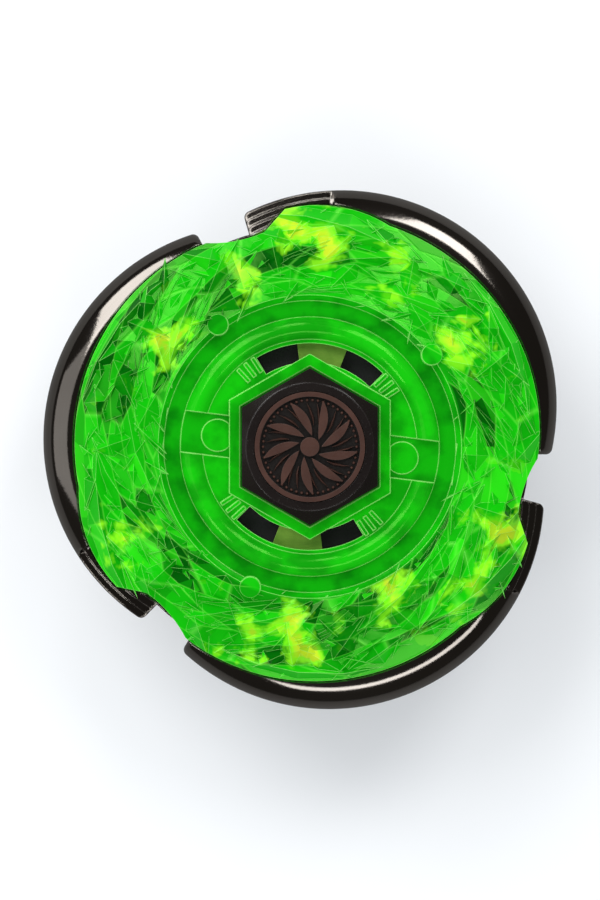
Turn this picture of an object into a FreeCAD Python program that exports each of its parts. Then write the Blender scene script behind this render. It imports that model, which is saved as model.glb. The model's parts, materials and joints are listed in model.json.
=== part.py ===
import FreeCAD, Part
import math
import os
from FreeCAD import Vector

# Light-up spinning top for launcher play, in millimetres.
# +Z is the spin axis, pointing up. The origin is the lowest point of the steel ball tip,
# and +Y points at the middle of the far launcher slot before the slots' own small turn.
# From the bottom up: ball tip in its cup, battery cover, core housing with cells, board and
# lamps, weight ring, plated attack wheel, reflector foil, catch plate, clear light ring, cap.

OUT_FOLDER = "parts"

# --- Driving dimensions: tip and battery cover
ball_radius = 2.0
ball_showing = 1.0            # how far the ball stands out below its cup
ball_clearance = 0.05         # radial play that lets the ball turn
cup_radius = 3.0
cup_lip_radius = 2.45
cup_lip_height = 0.7
cup_showing = 2.6             # cup length below the cover's nose
cup_seat_radius = 2.7         # narrower stem, so the cup's shoulder rests on the nose
cup_seat_length = 2.6         # stem length held in the nose
nose_height = 2.4
nose_tip_radius = 4.4
nose_root_radius = 6.6
cover_thickness = 1.5
cover_chamfer = 1.0
cover_rim_height = 1.3        # locating rim inside the core wall
cover_rim_wall = 1.0
cover_rib_count = 24
cover_rib_width = 0.7
cover_rib_depth = 0.5
cover_rib_start_gap = 1.0     # from the nose to the grooves in the cover
cover_rib_end_gap = 0.6       # from the grooves to the chamfer
cover_rib_screw_gap = 1.0     # plain ring round each screw head

# --- Core housing
core_bore_radius = 12.2
core_neck_wall = 1.0          # above the flange, inside the wheel
core_skirt_wall = 1.3         # plain round band above the cover, for a stand to hold
core_waist_wall = 1.1         # between that band and the flange, where the gussets are
roof_thickness = 1.6
flange_reach = 3.8            # flange edge beyond the neck
flange_thickness = 1.2
gusset_count = 9
gusset_width = 1.0
gusset_height = 3.6
gusset_edge_gap = 0.4
slip_clearance = 0.1          # radial gap between parts that are slid together
rim_wall = 2.2                # core rim that carries the catch plate
prong_room = 1.4              # height under the catch plate for the launcher's prongs
lug_count = 3
lug_width = 3.0
lug_height = 1.2
lug_reach = 1.6
boss_radius = 1.7             # cover screw bosses
boss_gap = 1.0                # from the bosses' tops to the board
boss_inset = 1.8              # boss centres in from the core bore
boss_web_bite = 0.3           # how far a boss's web runs into the core wall
cover_screw_count = 3
fastener_start_angle = 98.0   # first cover screw, then every third of a turn

# --- Cells and contacts
cell_radius = 3.95
cell_height = 3.6
cell_count = 3
cell_edge = 0.35
cell_foot_inset = 0.7         # narrower minus end
cell_foot_height = 0.25
cell_clearance = 0.2
tube_wall = 0.9
tube_foot_gap = 1.5           # below the battery tube, for the minus strip
strip_thickness = 0.2
strip_width = 1.4
spring_height = 0.7
spring_wire_radius = 0.15
spring_low_radius = 3.0
spring_high_radius = 1.9
spring_turns = 2.0
contact_pad_radius = 2.4
strip_leg_gap = 1.45          # from the battery tube to the outside of a leg
plus_angle = 90.0
minus_angle = 240.0

# --- Circuit board and what is on it
board_thickness = 0.8
board_drop = 5.6              # board top below the core roof
board_edge_gap = 0.3
lamp_turn_angle = 31.0        # lamps stand this far either side of each ring screw
lamp_circle_radius = 8.6
lamp_radius = 1.5
lamp_flange_radius = 1.9
lamp_flange_height = 0.8
lamp_height = 4.2
lamp_hole_clearance = 0.2
lamp_window_radius = 1.9      # light windows in the catch plate
lead_radius = 0.25
lead_spacing = 2.0
lead_tail = 0.8
stake_radius = 0.5
stake_post_radius = 0.9
stake_head_height = 0.4
stake_head_radius = 0.8
chip_radius = 1.9
chip_height = 0.9
chip_angle = 173.0
part_circle_radius = 8.6
resistor_length = 1.6
resistor_width = 0.8
resistor_height = 0.45
resistor_cap = 0.3
resistor_tin = 0.03           # how far the tinned ends stand proud
resistor_angles = (236.0, 247.0, 258.0)
crystal_can_radius = 1.0
crystal_can_height = 2.6
crystal_can_angle = 280.0

# --- Spin switch under the board
switch_angle = 0.0
switch_length = 6.0
switch_width = 3.6
switch_height = 3.4
switch_tube_gap = 0.6         # from the battery tube to the switch
slug_radius = 1.0
slug_length = 2.0
slug_travel = 1.0
slug_clearance = 0.05
switch_wall = 0.8
pin_radius = 0.35
switch_coil_radius = 0.72
switch_coil_wire = 0.1
switch_coil_turns = 4.0

# --- Attack wheel and weight ring
wheel_height = 7.8
wheel_wall = 2.1              # hub wall between the bore and the weight
lobe_count = 3
hub_chamfer = 1.2
lobe_offset = 5.0             # lobe arcs are struck from this far off the spin axis
lobe_radius = 20.8
rim_roll = 2.8                # radius of the rolled upper rim
flank_height = 2.4            # lower slanted flank
flank_inset = 1.0
foot_inset = 3.0
notch_angle = -8.0
notch_half_angle = 6.0
notch_floor_radius = 21.2
seat_depth = 1.0              # how deep the light ring sits in the wheel
seat_clearance = 0.15
flute_count = 9
flute_radius = 0.9
flute_depth = 0.55
flute_length = 4.4
flute_spread_angle = 88.0
step_count = 3                # terraces at the trailing end of each rolled rim
step_start = 0.6              # first terrace outside the flat top
step_width = 0.7
step_from_angle = 40.0
step_to_angle = 75.0
weight_width = 4.6
weight_height = 3.9
weight_clearance = 0.1
weight_chamfer = 0.4

# --- Light ring
foil_thickness = 0.15
foil_inset = 0.45
foil_inner_gap = 0.7
ring_skirt = 1.85             # hub underside above the rim underside
ring_start_radius = 21.9
ring_swell_radius = 22.2
ring_waist_radius = 22.5
ring_wing_radius = 22.5
ring_tail_radius = 23.2
ring_end_radius = 22.9
ring_step_radius = 21.0
ring_start_angle = 5.0        # these turn angles are counted from a notch
ring_swell_angle = 16.0
ring_waist_angle = 34.0
ring_bow_angle = 55.0
ring_wing_angle = 78.0
ring_tail_angle = 94.0
ring_end_angle = 104.0
ring_step_angle = 110.0
ring_return_angle = 117.0
ring_bow = 0.1                # how much the shallow arcs bow in or out
ring_edge_height = 1.4
rim_fall = 0.8                # the rim slopes down from this far inside the waist
rim_rise = 0.7
groove_step = 0.5             # slant of the groove's outer wall
ring_inner_height = 3.7       # plateau height at the groove
groove_outer_radius = 14.0
groove_height = 2.75
band_inner_radius = 10.3
band_outer_radius = 12.4
band_rise = 0.9
hub_thickness = 1.2
slot_turn = -7.0              # the hub pattern is turned a little about the axis
slot_inner_radius = 8.1
slot_outer_radius = 9.9
slot_half_angle = 38.0
catch_half_angle = 14.0
tab_width = 4.0
tab_inner_radius = 7.4
tab_drop = 0.25
post_radius = 1.55
post_circle_radius = 8.9
post_rise = 0.15
tick_count = 3
tick_pitch_angle = 5.0
tick_width = 0.35
tick_height = 0.25
tick_inner_radius = 8.5
tick_outer_radius = 10.1
tick_group_angle = 45.0
hex_cap_flats = 13.0
hex_cap_clearance = 0.2       # each side, between the cap and its pocket
hex_border_wall = 1.0
hex_border_height = 0.6
hex_floor_thickness = 0.6
mark_radius = 1.0
mark_rise = 0.3
mark_circle_radius = 14.6
mark_angles = (127.0, 37.0, 247.0)

# --- Crystal relief, given for one third of the ring and repeated in the others
relief_root = 1.2             # base of every crystal above the rim underside
crystal_sink = 0.12           # how far a crystal's shoulders lie under the plateau
# Swept blades: start and end radius, start and end turn angle, width and peak
blade_radii = ((14.9, 19.6), (16.6, 21.2), (15.4, 19.8), (21.2, 22.4), (20.4, 22.9))
blade_angles = ((100.0, 40.0), (108.0, 64.0), (40.0, 8.0), (12.0, 58.0), (66.0, 110.0))
blade_sizes = ((1.9, 1.0), (2.2, 1.3), (2.0, 1.2), (1.5, 0.9), (2.6, 1.5))
blade_corner_count = 5
blade_curve_power = 1.4
# Rows of shards: radius, how many in a third, mean heading and swing, length, width and peak
shard_row_radii = (16.3, 18.7, 20.9)
shard_row_counts = (5, 6, 7)
shard_row_angles = ((20.0, 30.0), (75.0, 26.0), (-5.0, 30.0))
shard_row_sizes = ((5.4, 2.9, 1.3), (5.8, 2.6, 1.6), (5.2, 2.5, 1.4))
shard_drift = 0.9             # unevenness of the rows, in radius
shard_turn_share = 0.35       # and as shares of the pitch and of each size
shard_length_share = 0.3
shard_width_share = 0.25
shard_peak_share = 0.5
shard_lean_angle = 24.0
shard_shift_share = 0.15      # widest point behind the middle, as a share of the length

# --- Cap and fasteners
cap_head_height = 3.6
cap_bevel = 0.9
cap_bevel_edge = 0.5          # the bevel starts this far outside its own width
cap_bevel_spread = 2.0        # its cone runs this far past the corners, and as far down
cap_spigot_radius = 3.5
cap_snap_radius = 3.85
cap_snap_height = 0.5
cap_snap_lead = 0.3           # slanted lead-in below the snap
cap_floor_gap = 0.2
cap_slit_width = 0.8
cap_slit_roof = 0.4           # solid left above the slits
badge_radius = 5.3
badge_recess = 0.6
badge_base = 0.35
badge_relief = 0.45
badge_vane_count = 9
badge_rim_width = 0.45
badge_hub_radius = 0.9
badge_vane_inner_share = 0.24 # vane start, as a share of its reach
badge_vane_gap = 0.3
badge_vane_angle = 34.0
badge_clearance = 0.05
plate_thickness = 0.6
plate_edge_gap = 0.3
screw_shank_radius = 0.75
screw_head_radius = 1.3
screw_head_height = 1.0
screw_bite = 2.2
cover_screw_shank_radius = 0.8
cover_screw_head_radius = 1.6
cover_screw_head_height = 0.8
cover_screw_length = 4.6
driver_slot_width = 0.3
driver_slot_depth = 0.45

# --- Heights up the spin axis, each worked out from the pieces below it
cup_bottom = ball_showing
nose_bottom = cup_bottom + cup_showing
cover_bottom = nose_bottom + nose_height
cover_top = cover_bottom + cover_thickness
cells_bottom = cover_top + strip_thickness + spring_height
cells_top = cells_bottom + cell_count * cell_height
roof_bottom = cells_top + strip_thickness
roof_top = roof_bottom + roof_thickness
plate_bottom = roof_top + prong_room
hub_bottom = plate_bottom + plate_thickness
hub_top = hub_bottom + hub_thickness
ring_bottom = hub_bottom - ring_skirt
seat_height = ring_bottom - foil_thickness
wheel_top = seat_height + seat_depth
wheel_bottom = wheel_top - wheel_height
board_top = roof_bottom - board_drop
board_bottom = board_top - board_thickness
hex_floor = hub_bottom + hex_floor_thickness
cap_top = hex_floor + cap_head_height

# --- Radii that follow from the ones above
core_neck_radius = core_bore_radius + core_neck_wall
core_skirt_radius = core_bore_radius + core_skirt_wall
core_waist_radius = core_bore_radius + core_waist_wall
cover_radius = core_skirt_radius
hex_pocket_flats = hex_cap_flats + 2 * hex_cap_clearance
flange_radius = core_neck_radius + flange_reach
tube_bore_radius = cell_radius + cell_clearance
tube_radius = tube_bore_radius + tube_wall
strip_leg_radius = tube_radius + strip_leg_gap
switch_start_radius = tube_radius + switch_tube_gap
wheel_bore_radius = core_neck_radius + slip_clearance
weight_pocket_inner = wheel_bore_radius + wheel_wall
weight_inner_radius = weight_pocket_inner + weight_clearance
weight_outer_radius = weight_inner_radius + weight_width
weight_pocket_outer = weight_outer_radius + weight_clearance
ring_bore_radius = core_neck_radius + slip_clearance
boss_circle_radius = core_bore_radius - boss_inset
third_turn = 360.0 / lobe_count

BEYOND = 60.0                 # longer than the part, for cutting tools
OVERLAP = 0.1                 # how far a piece of one solid runs into the next before they are fused
UP = Vector(0, 0, 1)


# --- Small helpers
def polar(radius, angle, z=0.0):
    turn = math.radians(angle)
    return Vector(radius * math.cos(turn), radius * math.sin(turn), z)


def cylinder(radius, bottom, top, centre=Vector(0, 0, 0)):
    return Part.makeCylinder(radius, top - bottom, Vector(centre.x, centre.y, bottom), UP)


def tube(inner, outer, bottom, top):
    return cylinder(outer, bottom, top).cut(cylinder(inner, bottom - 1.0, top + 1.0))


def turned(points):
    """Solid made by turning a closed outline of (radius, height) points about the spin axis."""
    corners = [Vector(r, 0, z) for r, z in points]
    face = Part.Face(Part.makePolygon(corners + corners[:1]))
    return face.revolve(Vector(0, 0, 0), UP, 360)


def spun(shape, angle, centre=Vector(0, 0, 0)):
    """A copy of the shape turned about the vertical through a centre."""
    copy = shape.copy()
    copy.rotate(centre, UP, angle)
    return copy


def spread(shape, count, start=0.0):
    """Copies of a shape evenly round the spin axis."""
    return [spun(shape, start + i * 360.0 / count) for i in range(count)]


def radial_box(inner, outer, width, bottom, top, angle=0.0):
    """Box along a radius, from the inner radius to the outer one."""
    box = Part.makeBox(outer - inner, width, top - bottom, Vector(inner, -width / 2, bottom))
    return spun(box, angle)


def sector(inner, outer, start, end, bottom, top):
    """Part of a ring between two angles."""
    disc = Part.makeCylinder(outer, top - bottom, Vector(0, 0, bottom), UP, end - start)
    disc.rotate(Vector(0, 0, 0), UP, start)
    return disc.cut(cylinder(inner, bottom - 1.0, top + 1.0)) if inner > 0 else disc


def hexagon(flats, bottom, top):
    """Hexagonal prism with two corners on the Y axis."""
    corner = flats / math.sqrt(3)
    points = [polar(corner, 30 + 60 * i, bottom) for i in range(6)]
    return Part.Face(Part.makePolygon(points + points[:1])).extrude(Vector(0, 0, top - bottom))


def at_bosses(shape):
    """Copies of a shape at every cover screw."""
    return spread(shape, cover_screw_count, fastener_start_angle)


def joined(first, others):
    """Fusion of one shape with a list of others, tidied of leftover seams."""
    return first.multiFuse(list(others)).removeSplitter() if others else first


def coil(low_radius, high_radius, wire, turns, bottom, height):
    """Round-wire coil whose wire stays between the bottom and the height above it."""
    rise = height - 2 * wire
    slope = math.degrees(math.atan((high_radius - low_radius) / rise))
    if slope == 0:
        path = Part.makeHelix(rise / turns, rise, low_radius)
    else:
        path = Part.makeHelix(rise / turns, rise, low_radius, slope)
    section = Part.Wire(Part.makeCircle(wire, Vector(low_radius, 0, 0), Vector(0, 1, 0)))
    body = Part.Wire(path.Edges).makePipeShell([section], True, True)
    body.translate(Vector(0, 0, bottom + wire))
    return body


def wobble(number):
    """Repeatable unevenness between -0.5 and 0.5."""
    return (number * 0.618034) % 1.0 - 0.5


# --- Tip and battery cover
def tip_ball():
    return Part.makeSphere(ball_radius, Vector(0, 0, ball_radius))


def tip_cup():
    top = nose_bottom + cup_seat_length
    body = turned([
        (0, cup_bottom), (cup_lip_radius, cup_bottom),
        (cup_radius, cup_bottom + cup_lip_height), (cup_radius, nose_bottom),
        (cup_seat_radius, nose_bottom), (cup_seat_radius, top), (0, top),
    ])
    return body.cut(Part.makeSphere(ball_radius + ball_clearance, Vector(0, 0, ball_radius)))


def base_cover():
    cup_top = nose_bottom + cup_seat_length
    body = turned([
        (0, nose_bottom), (nose_tip_radius, nose_bottom), (nose_root_radius, cover_bottom),
        (cover_radius - cover_chamfer, cover_bottom), (cover_radius, cover_bottom + cover_chamfer),
        (cover_radius, cover_top), (0, cover_top),
    ])
    rim_radius = core_bore_radius - slip_clearance
    rim = tube(rim_radius - cover_rim_wall, rim_radius, cover_top - OVERLAP,
               cover_top + cover_rim_height)
    clear_boss = boss(boss_radius + 2 * slip_clearance, cover_top, cover_top + cover_rim_height + 1)
    rim = rim.cut(at_bosses(clear_boss))
    body = body.fuse(rim).cut(cylinder(cup_seat_radius, nose_bottom - 1, cup_top))
    screw = polar(boss_circle_radius, 0)
    hole = cylinder(cover_screw_shank_radius + slip_clearance, nose_bottom, cover_top + 1, screw)
    sink = cylinder(cover_screw_head_radius + slip_clearance, nose_bottom,
                    cover_bottom + cover_screw_head_height, screw)
    rib = radial_box(nose_root_radius + cover_rib_start_gap,
                     cover_radius - cover_chamfer - cover_rib_end_gap, cover_rib_width,
                     cover_bottom - 1, cover_bottom + cover_rib_depth)
    keep = cylinder(cover_screw_head_radius + cover_rib_screw_gap, cover_bottom - 2, cover_top, screw)
    grooves = Part.makeCompound(spread(rib, cover_rib_count)).cut(at_bosses(keep))
    cuts = at_bosses(hole) + at_bosses(sink)
    return body.cut(cuts).cut(grooves)


def boss(radius, bottom, top):
    """Round screw boss on the X axis, joined to the core wall by a web."""
    post = cylinder(radius, bottom, top, polar(boss_circle_radius, 0))
    web = radial_box(boss_circle_radius, core_bore_radius + boss_web_bite, 2 * radius, bottom, top)
    return post.fuse(web)


def cover_screws():
    centre = polar(boss_circle_radius, 0)
    head_top = cover_bottom + cover_screw_head_height
    head = cylinder(cover_screw_head_radius, cover_bottom, head_top, centre)
    shank = cylinder(cover_screw_shank_radius, head_top, head_top + cover_screw_length, centre)
    screw = head.fuse(shank).removeSplitter()
    screw = screw.cut(cross_slot(centre, cover_screw_head_radius, cover_bottom))
    return Part.makeCompound(at_bosses(screw))


def cross_slot(centre, head_radius, bottom):
    """Crossed driver recess in a head that faces down."""
    length = 1.3 * head_radius
    bar = Part.makeBox(length, driver_slot_width, driver_slot_depth,
                       Vector(centre.x - length / 2, centre.y - driver_slot_width / 2, bottom))
    return bar.fuse(spun(bar, 90, centre))


# --- Core housing
def core_housing():
    flange_bottom = wheel_bottom - flange_thickness
    band_top = flange_bottom - gusset_height
    shell = turned([
        (core_bore_radius, cover_top), (core_skirt_radius, cover_top),
        (core_skirt_radius, band_top), (core_waist_radius, band_top),
        (core_waist_radius, flange_bottom), (flange_radius, flange_bottom),
        (flange_radius, wheel_bottom), (core_neck_radius, wheel_bottom),
        (core_neck_radius, plate_bottom), (core_neck_radius - rim_wall, plate_bottom),
        (core_neck_radius - rim_wall, roof_top), (0, roof_top), (0, roof_bottom),
        (core_bore_radius, roof_bottom),
    ])
    tube_bottom = cover_top + tube_foot_gap
    battery_tube = tube(tube_bore_radius, tube_radius, tube_bottom, roof_bottom)
    boss_at = polar(boss_circle_radius, 0)
    screw_boss = boss(boss_radius, cover_top, board_bottom - boss_gap)
    post = cylinder(stake_post_radius, board_top, roof_bottom, boss_at)
    stake = cylinder(stake_radius, board_bottom - stake_head_height, board_top, boss_at)
    head = cylinder(stake_head_radius, board_bottom - stake_head_height, board_bottom, boss_at)
    lug = radial_box(core_neck_radius - OVERLAP, core_neck_radius + lug_reach, lug_width,
                     wheel_bottom, wheel_bottom + lug_height)
    gusset = gusset_rib(flange_bottom)
    added = [battery_tube] + at_bosses(screw_boss)
    added += at_bosses(post) + at_bosses(stake)
    added += at_bosses(head) + spread(lug, lug_count, notch_angle)
    added += spread(gusset, gusset_count)
    body = joined(shell, added)
    pilot = cylinder(cover_screw_shank_radius, cover_top - 1,
                     cover_bottom + cover_screw_head_height + cover_screw_length, boss_at)
    lamp_hole = cylinder(lamp_radius + lamp_hole_clearance, roof_bottom - 1, roof_top + 1,
                         polar(lamp_circle_radius, 0))
    screw_hole = cylinder(screw_shank_radius + slip_clearance, roof_bottom - 1, roof_top + 1,
                          polar(post_circle_radius, 0))
    strip_way = radial_box(contact_pad_radius, tube_radius + 1, strip_width + 2 * cell_clearance,
                           cells_top, roof_bottom, plus_angle)
    cuts = at_bosses(pilot) + at_lamps(lamp_hole)
    cuts += spread(screw_hole, 2, slot_turn) + [strip_way]
    return body.cut(cuts)


def gusset_rib(flange_bottom):
    """Triangular rib under the flange."""
    inner = core_waist_radius - OVERLAP
    outer = flange_radius - gusset_edge_gap
    half = gusset_width / 2
    points = [Vector(inner, -half, flange_bottom), Vector(outer, -half, flange_bottom),
              Vector(inner, -half, flange_bottom - gusset_height)]
    return Part.Face(Part.makePolygon(points + points[:1])).extrude(Vector(0, gusset_width, 0))


# --- Cells and contacts
def button_cell(number):
    bottom = cells_bottom + number * cell_height
    top = bottom + cell_height
    foot = cell_radius - cell_foot_inset
    step = bottom + cell_foot_height
    return turned([
        (0, bottom), (foot, bottom), (foot, step),
        (cell_radius - cell_edge, step), (cell_radius, step + cell_edge),
        (cell_radius, top - cell_edge), (cell_radius - cell_edge, top), (0, top),
    ])


def plus_contact():
    pad = cylinder(contact_pad_radius, cells_top, roof_bottom)
    arm = radial_box(0, strip_leg_radius, strip_width, cells_top, roof_bottom, plus_angle)
    leg = radial_box(strip_leg_radius - strip_thickness, strip_leg_radius, strip_width,
                     board_top, roof_bottom, plus_angle)
    return joined(pad, [arm, leg])


def minus_contact():
    foot_top = cover_top + strip_thickness
    pad = cylinder(spring_low_radius + 2 * spring_wire_radius, cover_top, foot_top)
    arm = radial_box(0, strip_leg_radius, strip_width, cover_top, foot_top, minus_angle)
    leg = radial_box(strip_leg_radius - strip_thickness, strip_leg_radius, strip_width,
                     cover_top, board_bottom, minus_angle)
    return joined(pad, [arm, leg])


def minus_spring():
    return coil(spring_low_radius, spring_high_radius, spring_wire_radius, spring_turns,
                cover_top + strip_thickness, spring_height)


# --- Circuit board
def lamp_angles():
    """Two lamps beside each ring screw, clear of the launcher slots."""
    return [slot_turn + side + turn for side in (0, 180) for turn in (-lamp_turn_angle, lamp_turn_angle)]


def at_lamps(shape):
    """Copies of a shape at every lamp."""
    return [spun(shape, angle) for angle in lamp_angles()]


def lead_spots():
    """Centres of the lamp leads on the board."""
    spots = []
    for angle in lamp_angles():
        for side in (-0.5, 0.5):
            spots.append(polar(lamp_circle_radius + side * lead_spacing, angle))
    return spots


def circuit_board():
    inner = tube_radius + board_edge_gap
    outer = core_bore_radius - board_edge_gap
    body = tube(inner, outer, board_bottom, board_top)
    stake_hole = cylinder(stake_radius, board_bottom - 1, board_top + 1, polar(boss_circle_radius, 0))
    holes = [cylinder(lead_radius, board_bottom - 1, board_top + 1, p) for p in lead_spots()]
    return body.cut(at_bosses(stake_hole) + holes)


def lamp(number):
    """Round lamp with a flange, a domed lens and two leads through the board."""
    centre = polar(lamp_circle_radius, 0)
    dome_base = board_top + lamp_height - lamp_radius
    flange = cylinder(lamp_flange_radius, board_top, board_top + lamp_flange_height, centre)
    barrel = cylinder(lamp_radius, board_top, dome_base, centre)
    dome = Part.makeSphere(lamp_radius, Vector(centre.x, centre.y, dome_base))
    leads = [cylinder(lead_radius, board_bottom - lead_tail, board_top + OVERLAP,
                      polar(lamp_circle_radius + side * lead_spacing, 0)) for side in (-0.5, 0.5)]
    return spun(joined(flange, [barrel, dome] + leads), lamp_angles()[number])


def controller_chip():
    """Domed blob of black resin over the controller."""
    centre = polar(part_circle_radius, 0)
    sphere_radius = (chip_radius ** 2 + chip_height ** 2) / (2 * chip_height)
    ball = Part.makeSphere(sphere_radius,
                           Vector(centre.x, centre.y, board_top + chip_height - sphere_radius))
    return spun(ball.common(cylinder(chip_radius, board_top, board_top + chip_height, centre)),
                chip_angle)


def resistor(number):
    half = resistor_length / 2
    body = radial_box(part_circle_radius - half, part_circle_radius + half, resistor_width,
                      board_top, board_top + resistor_height)
    caps = [radial_box(part_circle_radius + side * half - (resistor_cap if side > 0 else 0),
                       part_circle_radius + side * half + (0 if side > 0 else resistor_cap),
                       resistor_width + 2 * resistor_tin, board_top,
                       board_top + resistor_height + resistor_tin)
            for side in (-1, 1)]
    return spun(joined(body, caps), resistor_angles[number])


def timing_can():
    """Small upright metal can that sets the flash rate."""
    centre = polar(part_circle_radius, crystal_can_angle)
    return cylinder(crystal_can_radius, board_top, board_top + crystal_can_height, centre)


# --- Spin switch: a brass slug that is thrown outwards and meets a pin
def switch_axis_height():
    return board_bottom - switch_height / 2


def along_switch(shape):
    return spun(shape, switch_angle)


def switch_rod(radius, start, end):
    """Round rod along the switch, between two distances from the spin axis."""
    rod = Part.makeCylinder(radius, end - start, Vector(start, 0, switch_axis_height()), Vector(1, 0, 0))
    return along_switch(rod)


def slug_start():
    return switch_start_radius + switch_wall


def switch_end():
    return switch_start_radius + switch_length


def switch_barrel():
    block = along_switch(radial_box(switch_start_radius, switch_end(), switch_width,
                                    board_bottom - switch_height, board_bottom))
    bore = switch_rod(slug_radius + slug_clearance, slug_start(), switch_end() - switch_wall)
    pin_hole = switch_rod(pin_radius, slug_start(), switch_end() + 1)
    return block.cut([bore, pin_hole])


def switch_slug():
    return switch_rod(slug_radius, slug_start(), slug_start() + slug_length)


def switch_pin():
    start = slug_start() + slug_length + slug_travel
    rod = switch_rod(pin_radius, start, switch_end())
    tail = radial_box(switch_end(), switch_end() + strip_thickness, 2 * pin_radius,
                      switch_axis_height() - pin_radius, board_bottom)
    return joined(rod, [along_switch(tail)])


def switch_spring():
    length = switch_end() - switch_wall - slug_start() - slug_length
    body = coil(switch_coil_radius, switch_coil_radius, switch_coil_wire, switch_coil_turns, 0, length)
    body.rotate(Vector(0, 0, 0), Vector(0, 1, 0), 90)
    body.translate(Vector(slug_start() + slug_length, 0, switch_axis_height()))
    return along_switch(body)


# --- Attack wheel and weight
def lobe():
    """One wing of the wheel: a turned disc struck from off the spin axis, kept over its own third."""
    roll_centre_z = wheel_top - rim_roll
    corner = rim_roll * math.sqrt(0.5)
    flank_base = wheel_bottom + flank_height
    lines = [
        Vector(0, 0, wheel_top), Vector(0, 0, wheel_bottom),
        Vector(lobe_radius - foot_inset, 0, wheel_bottom),
        Vector(lobe_radius - flank_inset, 0, flank_base),
        Vector(lobe_radius, 0, roll_centre_z),
    ]
    roll = Part.Arc(Vector(lobe_radius, 0, roll_centre_z),
                    Vector(lobe_radius - rim_roll + corner, 0, roll_centre_z + corner),
                    Vector(lobe_radius - rim_roll, 0, wheel_top)).toShape()
    top = Part.makeLine(Vector(lobe_radius - rim_roll, 0, wheel_top), Vector(0, 0, wheel_top))
    face = Part.Face(Part.Wire(Part.makePolygon(lines).Edges + [roll, top]))
    disc = face.revolve(Vector(0, 0, 0), UP, 360)
    half_spread = flute_spread_angle / 2
    lean = Vector(foot_inset - flank_inset, 0, flank_height).normalize()
    foot = Vector(lobe_radius - foot_inset + flute_radius - flute_depth, 0, wheel_bottom)
    flute = Part.makeCylinder(flute_radius, flute_length + 2, foot - lean * 2, lean)
    flute = flute.fuse(Part.makeSphere(flute_radius, foot + lean * flute_length))
    pitch = flute_spread_angle / (flute_count - 1)
    flutes = [spun(flute, -half_spread + i * pitch) for i in range(flute_count)]
    disc = disc.cut(flutes + [terrace(i) for i in range(step_count)])
    disc.translate(Vector(lobe_offset, 0, 0))
    disc = spun(disc, notch_angle + third_turn / 2)
    keep = sector(0, BEYOND, notch_angle + notch_half_angle,
                  notch_angle + third_turn - notch_half_angle, wheel_bottom - 1, wheel_top + 1)
    return disc.common(keep)


def roll_height(radius):
    """Height of the rolled rim at a radius from the lobe's own centre."""
    return wheel_top - rim_roll + math.sqrt(rim_roll ** 2 - (radius - lobe_radius + rim_roll) ** 2)


def terrace(number):
    """Cutter for one step in the rolled rim at a lobe's trailing end."""
    inner = lobe_radius - rim_roll + step_start + number * step_width
    outer = inner + step_width
    level = roll_height(min(outer, lobe_radius))
    return sector(inner, outer + OVERLAP, step_from_angle, step_to_angle, level, wheel_top + 1)


def attack_wheel():
    hub = turned([
        (0, wheel_bottom), (notch_floor_radius - hub_chamfer, wheel_bottom),
        (notch_floor_radius, wheel_bottom + hub_chamfer), (notch_floor_radius, seat_height),
        (0, seat_height),
    ])
    body = joined(hub, spread(lobe(), lobe_count))
    slot_outer = core_neck_radius + lug_reach + slip_clearance
    lug_slot = radial_box(core_neck_radius - 1, slot_outer, lug_width + 2 * slip_clearance,
                          wheel_bottom - 1, wheel_bottom + lug_height + slip_clearance)
    cuts = [
        cylinder(wheel_bore_radius, wheel_bottom - 1, wheel_top + 1),
        tube(weight_pocket_inner, weight_pocket_outer, wheel_bottom - 1,
             wheel_bottom + weight_height + weight_clearance),
        outline_prism(seat_clearance, seat_height, wheel_top + 1),
    ]
    return body.cut(cuts + spread(lug_slot, lug_count, notch_angle))


def weight_ring():
    top = wheel_bottom + weight_height
    c = weight_chamfer
    return turned([
        (weight_inner_radius, wheel_bottom), (weight_outer_radius - c, wheel_bottom),
        (weight_outer_radius, wheel_bottom + c), (weight_outer_radius, top - c),
        (weight_outer_radius - c, top), (weight_inner_radius, top),
    ])


# --- Light ring
def outline_prism(grow, bottom, top):
    """Prism on the ring's outline: each third swells from its start to its end, then steps in."""
    edges = []
    for third in range(lobe_count):
        base = notch_angle + third * third_turn

        def spot(radius, turn):
            return polar(radius + grow, base + turn, bottom)

        start = spot(ring_start_radius, ring_start_angle)
        swell = spot(ring_swell_radius, ring_swell_angle)
        waist = spot(ring_waist_radius, ring_waist_angle)
        bow = spot(ring_waist_radius + ring_bow, ring_bow_angle)
        wing = spot(ring_wing_radius, ring_wing_angle)
        tail = spot(ring_tail_radius, ring_tail_angle)
        end = spot(ring_end_radius, ring_end_angle)
        step = spot(ring_step_radius, ring_step_angle)
        hollow = spot(ring_step_radius - ring_bow, ring_return_angle)
        after = spot(ring_start_radius, ring_start_angle + third_turn)
        edges.append(Part.Arc(start, swell, waist).toShape())
        edges.append(Part.Arc(waist, bow, wing).toShape())
        edges.append(Part.Arc(wing, tail, end).toShape())
        edges.append(Part.makeLine(end, step))
        edges.append(Part.Arc(step, hollow, after).toShape())
    return Part.Face(Part.Wire(edges)).extrude(Vector(0, 0, top - bottom))


def plateau_height(radius):
    """Height of the ring's sloping top at a radius."""
    inner = groove_outer_radius + groove_step
    outer = ring_waist_radius - rim_fall
    share = (radius - inner) / (outer - inner)
    drop = ring_inner_height - ring_edge_height - rim_rise
    return ring_bottom + ring_inner_height - drop * min(max(share, 0.0), 1.2)


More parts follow.
